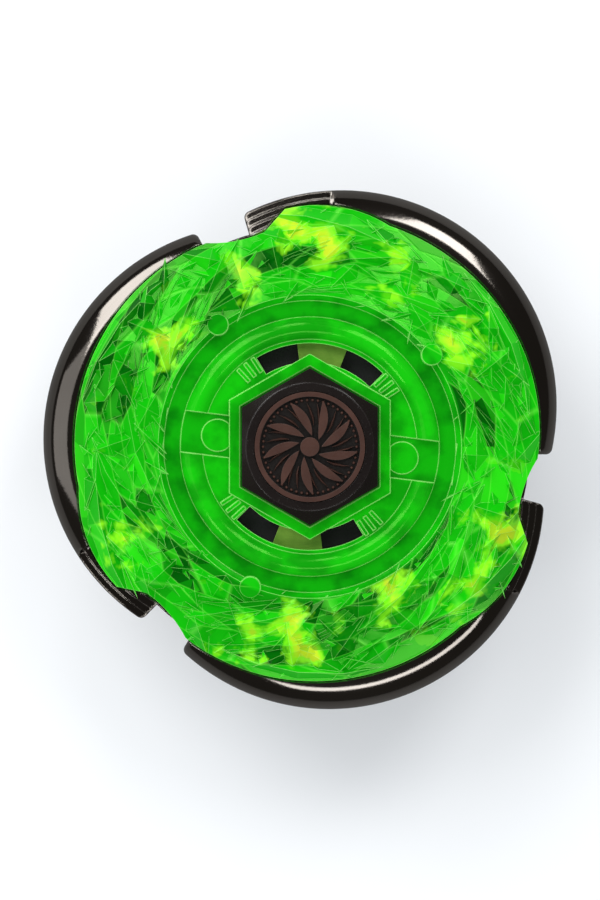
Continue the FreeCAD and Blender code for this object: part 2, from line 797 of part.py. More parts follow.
def crystal(path, width, peak):
    """Faceted ridge along a path of (x, y) points: pointed at both ends and widest between them."""
    root = ring_bottom + relief_root

    def shoulder(point):
        return Vector(point.x, point.y, plateau_height(point.Length) - crystal_sink)

    left, right, crest = [], [], []
    for i, point in enumerate(path):
        ahead = path[min(i + 1, len(path) - 1)] - path[max(i - 1, 0)]
        side = Vector(-ahead.y, ahead.x, 0).normalize()
        swell = math.sin(math.pi * i / (len(path) - 1))
        left.append(shoulder(point + side * (width / 2 * swell)))
        right.append(shoulder(point - side * (width / 2 * swell)))
        crest.append(Vector(point.x, point.y, plateau_height(point.Length) + peak * swell))
    rim = left + right[-2:0:-1]
    faces = []
    for i, corner in enumerate(rim):
        after = rim[(i + 1) % len(rim)]
        low, low_after = Vector(corner.x, corner.y, root), Vector(after.x, after.y, root)
        faces.append(facet(low, low_after, after, corner))
    for i in range(len(path) - 1):
        for edge in (left, right):
            if i > 0:
                faces.append(facet(edge[i], edge[i + 1], crest[i]))
            if i < len(path) - 2:
                faces.append(facet(edge[i + 1], crest[i + 1], crest[i] if i > 0 else edge[0]))
    faces.append(facet(*[Vector(p.x, p.y, root) for p in rim]))
    solid = Part.Solid(Part.Shell(faces))
    if solid.Volume < 0:
        solid.reverse()
    return solid


def facet(*corners):
    return Part.Face(Part.makePolygon(list(corners) + [corners[0]]))


def blade(radii, angles, width, peak):
    """Crystal that sweeps round and outwards."""
    path = []
    for i in range(blade_corner_count):
        share = i / (blade_corner_count - 1)
        radius = radii[0] + (radii[1] - radii[0]) * share ** blade_curve_power
        path.append(polar(radius, notch_angle + angles[0] + (angles[1] - angles[0]) * share))
    return crystal(path, width, peak)


def shard(radius, turn, heading, length, width, peak):
    """Short straight crystal whose heading is measured from the direction of travel."""
    centre = polar(radius, turn)
    along = polar(1.0, turn + 90 + heading)
    path = [centre - along * (length / 2), centre - along * (length * shard_shift_share),
            centre + along * (length / 2)]
    return crystal(path, width, peak)


def crystals():
    """Blades and uneven rows of shards, the same in each third of the ring."""
    made = [blade(radii, angles, width, peak) for radii, angles, (width, peak)
            in zip(blade_radii, blade_angles, blade_sizes)]
    rows = zip(shard_row_radii, shard_row_counts, shard_row_angles, shard_row_sizes)
    for row, (radius, count, (heading, swing), (length, width, peak)) in enumerate(rows):
        pitch = third_turn / count
        for i in range(count):
            odd = i + 10 * row
            turn = notch_angle + (i + 0.5 + shard_turn_share * wobble(odd)) * pitch
            lean = heading + swing * (1 if i % 2 else -1) + shard_lean_angle * wobble(odd + 3)
            made.append(shard(radius + shard_drift * wobble(odd + 5), turn, lean,
                              length * (1 + shard_length_share * wobble(odd + 7)),
                              width * (1 + shard_width_share * wobble(odd + 2)),
                              peak * (1 + shard_peak_share * wobble(odd + 9))))
    return [copy for piece in made for copy in spread(piece, lobe_count)]


def ring_body():
    """Turned section of the ring: hub, raised band, groove and the sloping plateau."""
    band_mid = (band_inner_radius + band_outer_radius) / 2
    far = ring_tail_radius + 1
    groove_z = ring_bottom + groove_height
    edge_z = ring_bottom + ring_edge_height
    plateau_z = ring_bottom + ring_inner_height
    low = Part.makePolygon([
        Vector(band_inner_radius, 0, hub_top), Vector(0, 0, hub_top), Vector(0, 0, hub_bottom),
        Vector(ring_bore_radius, 0, hub_bottom), Vector(ring_bore_radius, 0, ring_bottom),
        Vector(far, 0, ring_bottom), Vector(far, 0, edge_z),
        Vector(ring_waist_radius - rim_fall, 0, edge_z + rim_rise),
        Vector(groove_outer_radius + groove_step, 0, plateau_z),
        Vector(groove_outer_radius, 0, groove_z), Vector(band_outer_radius, 0, groove_z),
    ])
    band = Part.Arc(Vector(band_outer_radius, 0, groove_z), Vector(band_mid, 0, hub_top + band_rise),
                    Vector(band_inner_radius, 0, hub_top)).toShape()
    return Part.Face(Part.Wire(low.Edges + [band])).revolve(Vector(0, 0, 0), UP, 360)


def screw_posts():
    post = cylinder(post_radius, roof_top, hub_top - tab_drop + post_rise,
                    polar(post_circle_radius, 0))
    return spread(post, 2, slot_turn)


def light_ring():
    top = cap_top + 1
    body = joined(ring_body(), crystals()).common(outline_prism(0, ring_bottom, top))
    tab = radial_box(tab_inner_radius, groove_outer_radius, tab_width, hub_top - tab_drop, top)
    slot = sector(slot_inner_radius, slot_outer_radius, 90 - slot_half_angle, 90 + slot_half_angle,
                  hub_bottom - 1, top)
    body = body.cut(spread(tab, 2, slot_turn) + spread(slot, 2, slot_turn))
    border = hexagon(hex_pocket_flats + 2 * hex_border_wall, hub_top - OVERLAP,
                     hub_top + hex_border_height)
    ticks = []
    for group in range(4):
        middle = slot_turn + tick_group_angle + 90 * group
        for i in range(tick_count):
            angle = middle + (i - (tick_count - 1) / 2) * tick_pitch_angle
            ticks.append(radial_box(tick_inner_radius, tick_outer_radius, tick_width,
                                    hub_top - OVERLAP, hub_top + tick_height, angle))
    marks = [cylinder(mark_radius, ring_bottom + 1, ring_bottom + ring_inner_height + mark_rise,
                      polar(mark_circle_radius, a)) for a in mark_angles]
    body = joined(body, [border] + screw_posts() + ticks + marks)
    pilot = cylinder(screw_shank_radius, roof_top - 1, roof_top + screw_bite,
                     polar(post_circle_radius, 0))
    cuts = [hexagon(hex_pocket_flats, hex_floor, top),
            cylinder(cap_spigot_radius, hub_bottom - 1, hex_floor + 1)]
    return body.cut(cuts + spread(pilot, 2, slot_turn))


def reflector_foil():
    body = outline_prism(-foil_inset, seat_height, ring_bottom)
    return body.cut(cylinder(wheel_bore_radius + foil_inner_gap, seat_height - 1, ring_bottom + 1))


def catch_plate():
    body = tube(cap_spigot_radius + slip_clearance, core_neck_radius - plate_edge_gap,
                plate_bottom, hub_bottom)
    cuts = []
    for side in (0, 180):
        for start, end in ((-slot_half_angle, -catch_half_angle), (catch_half_angle, slot_half_angle)):
            middle = 90 + slot_turn + side
            cuts.append(sector(slot_inner_radius, slot_outer_radius, middle + start, middle + end,
                               plate_bottom - 1, hub_bottom + 1))
    post_hole = cylinder(post_radius + slip_clearance, plate_bottom - 1, hub_bottom + 1,
                         polar(post_circle_radius, 0))
    window = cylinder(lamp_window_radius, plate_bottom - 1, hub_bottom + 1,
                      polar(lamp_circle_radius, 0))
    return body.cut(cuts + spread(post_hole, 2, slot_turn) + at_lamps(window))


def ring_screws():
    centre = polar(post_circle_radius, 0)
    head = cylinder(screw_head_radius, roof_bottom - screw_head_height, roof_bottom, centre)
    shank = cylinder(screw_shank_radius, roof_bottom, roof_top + screw_bite, centre)
    screw = joined(head, [shank])
    screw = screw.cut(cross_slot(centre, screw_head_radius, roof_bottom - screw_head_height))
    return Part.makeCompound(spread(screw, 2, slot_turn))


# --- Cap and badge
def hex_cap():
    head = hexagon(hex_cap_flats, hex_floor, cap_top)
    cone_low = hex_cap_flats / math.sqrt(3) + cap_bevel_spread
    bevel = turned([(0, hex_floor), (cone_low, hex_floor),
                    (cone_low, cap_top - cap_bevel_spread - cap_bevel),
                    (hex_cap_flats / 2 - cap_bevel + cap_bevel_edge, cap_top), (0, cap_top)])
    head = head.common(bevel)
    spigot_bottom = roof_top + cap_floor_gap
    snap_top = plate_bottom
    spigot = turned([
        (0, spigot_bottom), (cap_spigot_radius, spigot_bottom),
        (cap_snap_radius, spigot_bottom + cap_snap_lead),
        (cap_snap_radius, spigot_bottom + cap_snap_lead + cap_snap_height),
        (cap_spigot_radius, snap_top), (cap_spigot_radius, hex_floor + OVERLAP),
        (0, hex_floor + OVERLAP),
    ])
    slit = radial_box(-cap_snap_radius - 1, cap_snap_radius + 1, cap_slit_width,
                      spigot_bottom - 1, hex_floor - cap_slit_roof)
    recess = cylinder(badge_radius, cap_top - badge_recess, cap_top + 1)
    return joined(head, [spigot]).cut([slit, spun(slit, 90), recess])


def badge_vane(number):
    """Curved ridge of the badge's pinwheel, from near the middle to the rim."""
    bottom = cap_top - badge_recess + badge_base - OVERLAP
    reach = badge_radius - badge_rim_width - badge_vane_gap
    root = polar(badge_vane_inner_share * reach, 0, bottom)
    tip = polar(reach, badge_vane_angle, bottom)
    outline = Part.Wire([
        Part.Arc(root, polar(0.62 * reach, 0.4 * badge_vane_angle, bottom), tip).toShape(),
        Part.Arc(tip, polar(0.68 * reach, 0.95 * badge_vane_angle, bottom), root).toShape(),
    ])
    vane = Part.Face(outline).extrude(Vector(0, 0, badge_relief + OVERLAP))
    return spun(vane, number * 360.0 / badge_vane_count)


def cap_badge():
    bottom = cap_top - badge_recess
    base_top = bottom + badge_base
    radius = badge_radius - badge_clearance
    disc = cylinder(radius, bottom, base_top)
    rim = tube(radius - badge_rim_width, radius, base_top - OVERLAP, base_top + badge_relief)
    hub = cylinder(badge_hub_radius, base_top - OVERLAP, base_top + badge_relief)
    return joined(disc, [rim, hub] + [badge_vane(i) for i in range(badge_vane_count)])


# --- Write every piece to its own file
def pieces():
    made = {
        "tip_ball": tip_ball(),
        "tip_cup": tip_cup(),
        "base_cover": base_cover(),
        "cover_screws": cover_screws(),
        "core_housing": core_housing(),
        "plus_contact": plus_contact(),
        "minus_contact": minus_contact(),
        "minus_spring": minus_spring(),
        "circuit_board": circuit_board(),
        "controller_chip": controller_chip(),
        "timing_can": timing_can(),
        "switch_barrel": switch_barrel(),
        "switch_slug": switch_slug(),
        "switch_pin": switch_pin(),
        "switch_spring": switch_spring(),
        "attack_wheel": attack_wheel(),
        "weight_ring": weight_ring(),
        "reflector_foil": reflector_foil(),
        "catch_plate": catch_plate(),
        "light_ring": light_ring(),
        "ring_screws": ring_screws(),
        "hex_cap": hex_cap(),
        "cap_badge": cap_badge(),
    }
    for i in range(cell_count):
        made["button_cell_%d" % (i + 1)] = button_cell(i)
    for i in range(len(lamp_angles())):
        made["lamp_%d" % (i + 1)] = lamp(i)
    for i in range(len(resistor_angles)):
        made["resistor_%d" % (i + 1)] = resistor(i)
    return made


os.makedirs(OUT_FOLDER, exist_ok=True)
for name, shape in pieces().items():
    shape.exportStep(os.path.join(OUT_FOLDER, name + ".step"))
    print("%-16s solids %2d  volume %9.2f  valid %s" % (
        name, len(shape.Solids), shape.Volume, shape.isValid()))
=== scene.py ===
# %% [markdown]
# # A light-up spinning top
# The toy is a launcher-spun top: a clear green crystal ring over a dark plated wheel, a black
# hexagonal cap, and a battery light unit with a ball tip underneath. The solid pieces come from
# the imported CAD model. This lesson gives each of them its finish, makes the wheel, the crystal
# ring and the switch's coil anew with smoother shapes, and adds what is too fine for a solid: the
# ribs and splinters on the ring, and the rays and beads on the badge.

import json
import math

import bmesh
import bpy
import numpy as np
from mathutils import Matrix, Vector


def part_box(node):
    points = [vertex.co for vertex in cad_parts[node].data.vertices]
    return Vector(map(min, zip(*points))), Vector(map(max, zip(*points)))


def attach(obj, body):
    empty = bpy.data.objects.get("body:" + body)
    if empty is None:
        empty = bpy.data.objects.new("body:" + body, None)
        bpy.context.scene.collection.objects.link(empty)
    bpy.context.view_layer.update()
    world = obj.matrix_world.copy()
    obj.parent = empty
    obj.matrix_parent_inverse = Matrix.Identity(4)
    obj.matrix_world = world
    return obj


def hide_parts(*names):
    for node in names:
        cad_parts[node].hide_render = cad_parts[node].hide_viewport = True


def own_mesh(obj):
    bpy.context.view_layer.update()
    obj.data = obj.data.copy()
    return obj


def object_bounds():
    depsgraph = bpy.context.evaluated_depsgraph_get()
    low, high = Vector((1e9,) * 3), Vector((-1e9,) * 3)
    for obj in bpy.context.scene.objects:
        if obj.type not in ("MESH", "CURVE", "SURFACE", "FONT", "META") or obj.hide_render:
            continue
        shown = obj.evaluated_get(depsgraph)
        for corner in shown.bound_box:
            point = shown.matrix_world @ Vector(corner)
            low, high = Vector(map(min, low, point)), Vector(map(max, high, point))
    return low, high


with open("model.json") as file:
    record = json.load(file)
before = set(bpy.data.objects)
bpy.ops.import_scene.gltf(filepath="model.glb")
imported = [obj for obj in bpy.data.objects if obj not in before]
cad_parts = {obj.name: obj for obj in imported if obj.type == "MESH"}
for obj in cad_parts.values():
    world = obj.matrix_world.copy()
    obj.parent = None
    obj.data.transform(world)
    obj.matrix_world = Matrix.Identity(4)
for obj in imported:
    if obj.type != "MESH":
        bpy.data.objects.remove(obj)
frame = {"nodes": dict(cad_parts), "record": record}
cad_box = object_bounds()
nodes = frame["nodes"]
MM = 0.001                    # Blender works in metres, this lesson in millimetres
print("loaded", len(nodes), "pieces, box in mm:",
      [[round(c / MM, 1) for c in corner] for corner in cad_box])

# %% [markdown]
# ## Places to measure from
# Every new shape has to meet the solid ones exactly, so the heights are read from the model
# instead of being typed. The bright foil lies between the wheel's seat and the green ring, and the
# ring's hub lies on the catch plate. One helper turns an angle and a radius into a point, because
# nearly everything on a top is placed round its axis.

# %% Heights read from the model
HUB_THICKNESS = 1.2


def height_range(node):
    """Heights of a node's lowest and highest point, in millimetres."""
    low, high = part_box(node)
    return low.z / MM, high.z / MM


wheel_bottom, wheel_top = height_range("attack_wheel")
seat_height, ring_bottom = height_range("reflector_foil")
hub_top = height_range("catch_plate")[1] + HUB_THICKNESS
badge_top = height_range("cap_badge")[1]


def flat_point(angle, radius):
    """Point seen from above, from an angle in degrees and a radius in millimetres."""
    turn = math.radians(angle)
    return Vector((radius * math.cos(turn), radius * math.sin(turn)))


print("wheel from %.1f to %.1f mm, ring stands on %.2f mm" % (wheel_bottom, wheel_top, ring_bottom))

# %% [markdown]
# ## Camera
# The top is looked at from straight above. A long lens from half a metre keeps the circles round,
# and the camera is turned so that +Y is up in the picture. Building its matrix from three axes
# avoids any doubt about the roll, which a look-at helper would choose by itself.

# %% Camera looking down on the cap
CAMERA_TILT = 0.5             # degrees away from straight down, towards +Y
CAMERA_DISTANCE = 0.5         # metres
LENS, SENSOR = 208.0, 36.0    # millimetres


def add_object(name, data):
    """New object in the scene for a mesh, a light or a camera."""
    made = bpy.data.objects.new(name, data)
    bpy.context.scene.collection.objects.link(made)
    return made


def camera_from_above():
    tilt = math.radians(CAMERA_TILT)
    back = Vector((0, math.sin(tilt), math.cos(tilt)))
    up = Vector((0, math.cos(tilt), -math.sin(tilt)))
    right = up.cross(back)
    middle = (cad_box[0] + cad_box[1]) / 2
    middle.z = wheel_top * MM
    place = middle + back * CAMERA_DISTANCE
    camera = add_object("camera", bpy.data.cameras.new("camera"))
    camera.data.lens = LENS
    camera.data.sensor_width = SENSOR
    camera.data.clip_start = 0.01
    turn = Matrix((right, up, back)).transposed().to_4x4()
    camera.matrix_world = Matrix.Translation(place) @ turn
    bpy.context.scene.camera = camera
    return camera


camera = camera_from_above()
print("camera at", [round(c, 3) for c in camera.matrix_world.translation])

# %% [markdown]
# ## Small helpers for nodes
# Materials, the world and Geometry Nodes are all trees of nodes. One helper adds a node and sets
# its properties and sockets, which keeps a tree short to read. A socket takes a plain value or
# another node's output, and the helper tells the two apart.

# %% Adding nodes and feeding sockets
def feed(tree, socket, value):
    """Link an output to a socket, or set the socket's plain value."""
    if isinstance(value, bpy.types.NodeSocket):
        tree.links.new(value, socket)
    elif isinstance(value, tuple) and len(value) == 3 and socket.type == "RGBA":
        socket.default_value = (*value, 1)
    else:
        socket.default_value = value


def set_sockets(tree, node, sockets):
    """Feed a node's sockets; a key is a socket's name, or its index where a name repeats."""
    for key, value in sockets.items():
        feed(tree, node.inputs[key], value)


def add_node(tree, kind, sockets=None, **settings):
    """New node with its properties set and its sockets fed."""
    node = tree.nodes.new(kind)
    for key, value in settings.items():
        setattr(node, key, value)
    set_sockets(tree, node, sockets or {})
    return node


def new_material(name):
    """New material, its tree and its main shader."""
    material = bpy.data.materials.new(name)
    material.use_nodes = True
    return material, material.node_tree, material.node_tree.nodes["Principled BSDF"]


print("node helpers ready")

# %% [markdown]
# Masks are made by arithmetic: a value is stretched to another range, two are multiplied, or one
# mixes two colours. A function for each kind of sum keeps a long chain of nodes readable. The Mix
# node keeps separate sockets for numbers and for colours under the same names, so they are found
# by index.

# %% Arithmetic with nodes
def mix_numbers(tree, mask, low, high):
    return add_node(tree, "ShaderNodeMix", {"Factor": mask, 2: low, 3: high}).outputs[0]


def mix_colours(tree, mask, low, high):
    mix = add_node(tree, "ShaderNodeMix", {"Factor": mask, 6: low, 7: high}, data_type="RGBA")
    return mix.outputs[2]


def map_range(tree, value, low, high, to_low=0.0, to_high=1.0):
    node = add_node(tree, "ShaderNodeMapRange", {
        "Value": value, "From Min": low, "From Max": high, "To Min": to_low, "To Max": to_high})
    return node.outputs["Result"]


def maths(tree, operation, first, second=0.0, clamp=False):
    node = add_node(tree, "ShaderNodeMath", {0: first, 1: second}, operation=operation,
                    use_clamp=clamp)
    return node.outputs[0]


def multiply(tree, first, second):
    return maths(tree, "MULTIPLY", first, second)


def vector_maths(tree, operation, first, second=None):
    sockets = {0: first}
    if second is not None:
        sockets["Scale" if operation == "SCALE" else 1] = second
    node = add_node(tree, "ShaderNodeVectorMath", sockets, operation=operation)
    gives_number = operation in ("DOT_PRODUCT", "LENGTH", "DISTANCE")
    return node.outputs["Value" if gives_number else "Vector"]


print("arithmetic ready")

# %% [markdown]
# ## Studio
# The top stands on a pale sweep under softboxes, as it would for a catalogue. The dark plating
# shows nothing but what it mirrors, so mirrored rays see a darker floor than the camera does, and
# the softboxes stand out on the plating as white streaks. The floor's back is see-through, so that
# the underside can be looked at from below it.

# %% Floor that is darker in mirrored rays
FLOOR_REACH = 1.2             # metres from the axis to each side
FLOOR_TINT, MIRRORED_FLOOR_TINT = (0.88, 0.89, 0.90), (0.14, 0.135, 0.13)


def choose_shader(tree, mask, first, second, output):
    """Show the first shader where the mask is 0, and the second where it is 1."""
    choose = add_node(tree, "ShaderNodeMixShader", {"Fac": mask, 1: first, 2: second})
    feed(tree, output.inputs["Surface"], choose.outputs["Shader"])


def add_floor():
    mesh = bpy.data.meshes.new("floor")
    corners = [(x * FLOOR_REACH, y * FLOOR_REACH, 0)
               for x, y in ((-1, -1), (1, -1), (1, 1), (-1, 1))]
    mesh.from_pydata(corners, [], [(0, 1, 2, 3)])
    floor = add_object("floor", mesh)
    material, tree, shader = new_material("pale_sweep")
    mirrored = add_node(tree, "ShaderNodeLightPath").outputs["Is Glossy Ray"]
    set_sockets(tree, shader, {
        "Base Color": mix_colours(tree, mirrored, FLOOR_TINT, MIRRORED_FLOOR_TINT),
        "Roughness": 0.9})
    behind = add_node(tree, "ShaderNodeNewGeometry").outputs["Backfacing"]
    clear = add_node(tree, "ShaderNodeBsdfTransparent").outputs["BSDF"]
    choose_shader(tree, behind, shader.outputs["BSDF"], clear, tree.nodes["Material Output"])
    mesh.materials.append(material)


add_floor()
print("floor reaches", FLOOR_REACH, "m each way")

# %% [markdown]
# The world lights the top softly and evenly, and to mirrored rays it is a dim warm room instead.
# Each softbox is a large rectangular lamp that faces the top from its own side. The one that gives
# the most light stands upper left.

# %% World and softboxes
PALE_WORLD, DIM_WORLD = 0.62, 0.05
SOFTBOX_DISTANCE = 0.42       # metres
SOFTBOXES = {                 # azimuth and elevation in degrees, width, height, radiance
    "softbox_left": (130, 42, 0.18, 0.38, 4.0),
    "softbox_top": (98, 40, 0.07, 0.14, 5.0),
    "softbox_right": (58, 48, 0.12, 0.24, 5.0),
    "softbox_corner": (222, 42, 0.08, 0.12, 5.0),
    "softbox_low": (288, 54, 0.30, 0.09, 4.0),
    "softbox_side": (176, 40, 0.24, 0.46, 0.7),
}


def set_world():
    """Pale world for the camera and for soft light, and a dim one for mirrored rays."""
    world = bpy.data.worlds.new("studio")
    world.use_nodes = True
    tree = world.node_tree
    lit = tree.nodes["Background"]
    set_sockets(tree, lit, {"Color": (0.92, 0.96, 1.0), "Strength": PALE_WORLD})
    dim = add_node(tree, "ShaderNodeBackground", {
        "Color": (1.0, 0.92, 0.84), "Strength": DIM_WORLD})
    mirrored = add_node(tree, "ShaderNodeLightPath").outputs["Is Glossy Ray"]
    choose_shader(tree, mirrored, lit.outputs["Background"], dim.outputs["Background"],
                  tree.nodes["World Output"])
    bpy.context.scene.world = world


def add_softbox(name, azimuth, elevation, width, height, radiance):
    """Area light that faces the top; azimuth is counted from +X towards +Y."""
    a, e = math.radians(azimuth), math.radians(elevation)
    back = Vector((math.cos(a) * math.cos(e), math.sin(a) * math.cos(e), math.sin(e)))
    data = bpy.data.lights.new(name, "AREA")
    data.shape = "RECTANGLE"
    data.size, data.size_y = width, height
    data.energy = radiance * math.pi * width * height
    light = add_object(name, data)
    light.location = Vector((0, 0, wheel_top * MM)) + back * SOFTBOX_DISTANCE
    light.rotation_mode = "QUATERNION"
    light.rotation_quaternion = back.to_track_quat("Z", "Y")


set_world()
for name, values in SOFTBOXES.items():
    add_softbox(name, *values)
bpy.context.scene.view_settings.view_transform = "Standard"
print("studio with", len(SOFTBOXES), "softboxes")

# %% [markdown]
# ## Shared effects as node groups
# Real mouldings are never one flat colour: resin flows unevenly, handling polishes the edges and
# dust settles on top. Each effect is a group, built once and placed in many materials with its own
# sizes. The groups give out only masks and normals; the shader stays in the material. The first
# one is a slow cloudy change over the surface, with a finer grain inside it.

# %% Group helper and the mottle group
def new_group(name, inputs, outputs):
    """Node group with inputs {name: default}; its outputs are numbers, and Normal is a vector."""
    group = bpy.data.node_groups.new(name, "ShaderNodeTree")
    for label, default in inputs.items():
        socket = group.interface.new_socket(label, in_out="INPUT", socket_type="NodeSocketFloat")
        socket.default_value = default
    for label in outputs:
        kind = "NodeSocketVector" if label == "Normal" else "NodeSocketFloat"
        group.interface.new_socket(label, in_out="OUTPUT", socket_type=kind)
    return group, group.nodes.new("NodeGroupInput").outputs, group.nodes.new("NodeGroupOutput")


def object_place(tree):
    """Place on the object itself, so that a pattern stays put when the object moves."""
    return add_node(tree, "ShaderNodeTexCoord").outputs["Object"]


def build_mottle():
    group, given, result = new_group("mottle", {"Cloud Scale": 90.0, "Grain Scale": 2500.0},
                                     ("Cloud", "Grain"))
    place = object_place(group)
    for label in ("Cloud", "Grain"):
        noise = add_node(group, "ShaderNodeTexNoise", {
            "Vector": place, "Scale": given[label + " Scale"], "Detail": 3.0})
        feed(group, result.inputs[label], noise.outputs["Fac"])
    return group


mottle_group = build_mottle()
print("group", mottle_group.name)

# %% [markdown]
# No moulded edge is razor sharp. The Bevel node bends the shading across an edge as a small
# rounding would, without any more geometry, and the angle between the bent and the true direction
# is a mask of the edges. That is where plating wears through on the metal parts, and where a
# highlight is painted on the plastics, the dark plating and the clear green.

# %% Rounded edges and a mask of them
def true_normal(tree):
    """Direction that the flat face itself looks in."""
    return add_node(tree, "ShaderNodeNewGeometry").outputs["True Normal"]


def build_rounded_edges():
    group, given, result = new_group("rounded_edges", {"Radius": 0.00012, "Spread": 6.0},
                                     ("Mask", "Normal"))
    bent = add_node(group, "ShaderNodeBevel", {"Radius": given["Radius"]}, samples=6)
    agree = vector_maths(group, "DOT_PRODUCT", bent.outputs["Normal"], true_normal(group))
    turned_away = maths(group, "SUBTRACT", 1.0, agree)
    set_sockets(group, result, {
        "Mask": maths(group, "MULTIPLY", turned_away, given["Spread"], clamp=True),
        "Normal": bent.outputs["Normal"]})
    return group


rounded_edges_group = build_rounded_edges()
print("group", rounded_edges_group.name)

# %% [markdown]
# Turned and brushed metal carries fine rings about the axis that it spun on. Noise read along the
# radius alone gives rings of uneven depth, which look more real than evenly spaced waves.

# %% Turning marks for round metal parts
def flat_part(tree, place):
    """A place with its height left out."""
    return vector_maths(tree, "MULTIPLY", place, (1.0, 1.0, 0.0))


def height_part(tree, place):
    return add_node(tree, "ShaderNodeSeparateXYZ", {"Vector": place}).outputs["Z"]


def build_turning_marks():
    group, given, result = new_group("turning_marks", {"Pitch": 9000.0}, ("Height",))
    place = object_place(group)
    radius = vector_maths(group, "LENGTH", flat_part(group, place))
    along = add_node(group, "ShaderNodeCombineXYZ", {"X": radius, "Y": height_part(group, place)})
    rings = add_node(group, "ShaderNodeTexNoise", {
        "Vector": along.outputs["Vector"], "Scale": given["Pitch"], "Detail": 1.0})
    feed(group, result.inputs["Height"], rings.outputs["Fac"])
    return group


turning_marks_group = build_turning_marks()
print("group", turning_marks_group.name)

# %% [markdown]
# Dust lies on what faces up, in specks. The mask multiplies how level a face is by a hard-edged
# noise, so walls and undersides stay clean.

# %% Dust specks on upward faces
def upward(tree, normal):
    """1 where a face looks straight up and 0 where it stands upright."""
    return vector_maths(tree, "DOT_PRODUCT", normal, (0.0, 0.0, 1.0))


def build_dust():
    group, given, result = new_group("dust", {"Speck Scale": 5200.0}, ("Mask",))
    noise = add_node(group, "ShaderNodeTexNoise", {
        "Vector": object_place(group), "Scale": given["Speck Scale"], "Detail": 2.0})
    specks = map_range(group, noise.outputs["Fac"], 0.66, 0.74)
    level = map_range(group, upward(group, true_normal(group)), 0.6, 0.95)
    feed(group, result.inputs["Mask"], multiply(group, specks, level))
    return group


dust_group = build_dust()
print("group", dust_group.name)

# %% [markdown]
# ## One builder for the plain finishes
# Most pieces are a moulded plastic or a plated metal. Each of their materials places the shared
# groups with its own sizes, stretches a noise to a range of roughness and turns the grain into
# fine bumps. These steps are the same everywhere, so each is a helper, and every finish is kept by
# its name.

# %% Placing groups and making bumps
finishes = {}


def new_finish(name):
    """New material that pieces can take by its name; gives its tree and its main shader."""
    finishes[name], tree, shader = new_material(name)
    return tree, shader


def place_group(tree, group, sockets=None):
    """Outputs of a group placed in a tree."""
    return add_node(tree, "ShaderNodeGroup", sockets, node_tree=group).outputs


def spread_noise(tree, noise, low, high):
    """Stretch a noise, which seldom leaves 0.3 to 0.7, to a wanted range."""
    return map_range(tree, noise, 0.3, 0.7, low, high)


def layer_colours(tree, colour, layers):
    """Cover a colour with (mask, colour) layers, one over the other."""
    for mask, layer in layers:
        colour = mix_colours(tree, mask, colour, layer)
    return colour


def bumps(tree, height, strength, depth, normal):
    """The normal, tilted by the slopes of a fine height pattern that is depth metres deep."""
    bump = add_node(tree, "ShaderNodeBump", {
        "Height": height, "Strength": strength, "Distance": depth, "Normal": normal})
    return bump.outputs["Normal"]


print("finish helpers ready")

# %% [markdown]
# The finishes differ in two colours that mottle into each other, a range of roughness, the colour
# of the edges, which is real wear or tinning on the metal parts and a painted highlight on the
# plastics and the dark plating, and how deep the grain is. One function wires all of that, so that
# each finish is a short call with its own values.

# %% Finish builder
DUST_TINT = (0.32, 0.31, 0.29)
GRAIN_DEPTH = 0.0002
METAL = {"Metallic": 1.0}


def finish(name, low, high, rough, edge=None, edge_radius=0.0001, edge_share=0.5, grain=0.02,
           cloud_scale=120.0, grain_scale=3500.0, turned=False, dusty=0.0, plain=None):
    """Material whose colour runs from low to high; the edge colour is wear or a painted highlight.
    """
    tree, shader = new_finish(name)
    mottle = place_group(tree, mottle_group, {
        "Cloud Scale": cloud_scale, "Grain Scale": grain_scale})
    rounded = place_group(tree, rounded_edges_group, {"Radius": edge_radius})
    layers = [(spread_noise(tree, mottle["Cloud"], 0.0, 1.0), high)]
    roughness = spread_noise(tree, mottle["Cloud"], *rough)
    # The edge colour is wear on metal parts and a painted highlight on the plastics and the dark
    # plating.
    if edge:
        patchy = map_range(tree, mottle["Grain"], 0.35, 0.6, 0.0, edge_share)
        layers.append((multiply(tree, rounded["Mask"], patchy), edge))
    if dusty:
        dust = multiply(tree, place_group(tree, dust_group)["Mask"], dusty)
        layers.append((dust, DUST_TINT))
        roughness = maths(tree, "ADD", roughness, dust)
    height = place_group(tree, turning_marks_group)["Height"] if turned else mottle["Grain"]
    set_sockets(tree, shader, {
        "Base Color": layer_colours(tree, low, layers), "Roughness": roughness,
        "Normal": bumps(tree, height, grain, GRAIN_DEPTH, rounded["Normal"]), **(plain or {})})


print("finish builder ready")

# %% [markdown]
# ## Plastics
# The cap is glossy black, the cup that holds the ball is dull acetal and the core is a smoke-black
# moulding. Gloss comes from low roughness with a thin clear coat over it, and the edges are a
# little paler, because light catches on their small rounding.

# %% Black, smoke and switch plastics
finish(
    "black_plastic", (0.006, 0.004, 0.004), (0.011, 0.008, 0.007), (0.16, 0.26),
    edge=(0.06, 0.052, 0.048), edge_radius=0.00018, dusty=0.05,
    plain={"Coat Weight": 0.15, "Coat Roughness": 0.08})
finish(
    "black_acetal", (0.016, 0.016, 0.018), (0.028, 0.028, 0.030), (0.42, 0.55),
    edge=(0.09, 0.09, 0.09), grain=0.10)
finish(
    "smoke_plastic", (0.030, 0.030, 0.033), (0.052, 0.052, 0.057), (0.20, 0.32),
    edge=(0.10, 0.10, 0.11), grain=0.05, plain={"Coat Weight": 0.2, "Coat Roughness": 0.15})
finish(
    "switch_plastic", (0.50, 0.46, 0.34), (0.58, 0.54, 0.42), (0.40, 0.50), grain=0.08)
finish(
    "black_resin", (0.008, 0.008, 0.009), (0.016, 0.016, 0.017), (0.22, 0.5), grain=0.25,
    cloud_scale=700.0)
print("plastics:", sorted(finishes))

# %% [markdown]
# ## Metals
# The cells, their spring and the contact strips are nickel plated, the weight, the screws and the
# switch's coil are bright zinc, and the slug and pin are brass. All are metallic, and they differ
# in tint, roughness and the lathe's marks.
# The catch plate is steel too, but passivated, which turns it olive under the green ring. The
# tinned ends of the chip parts are their worn edges, so the same builder serves them too.

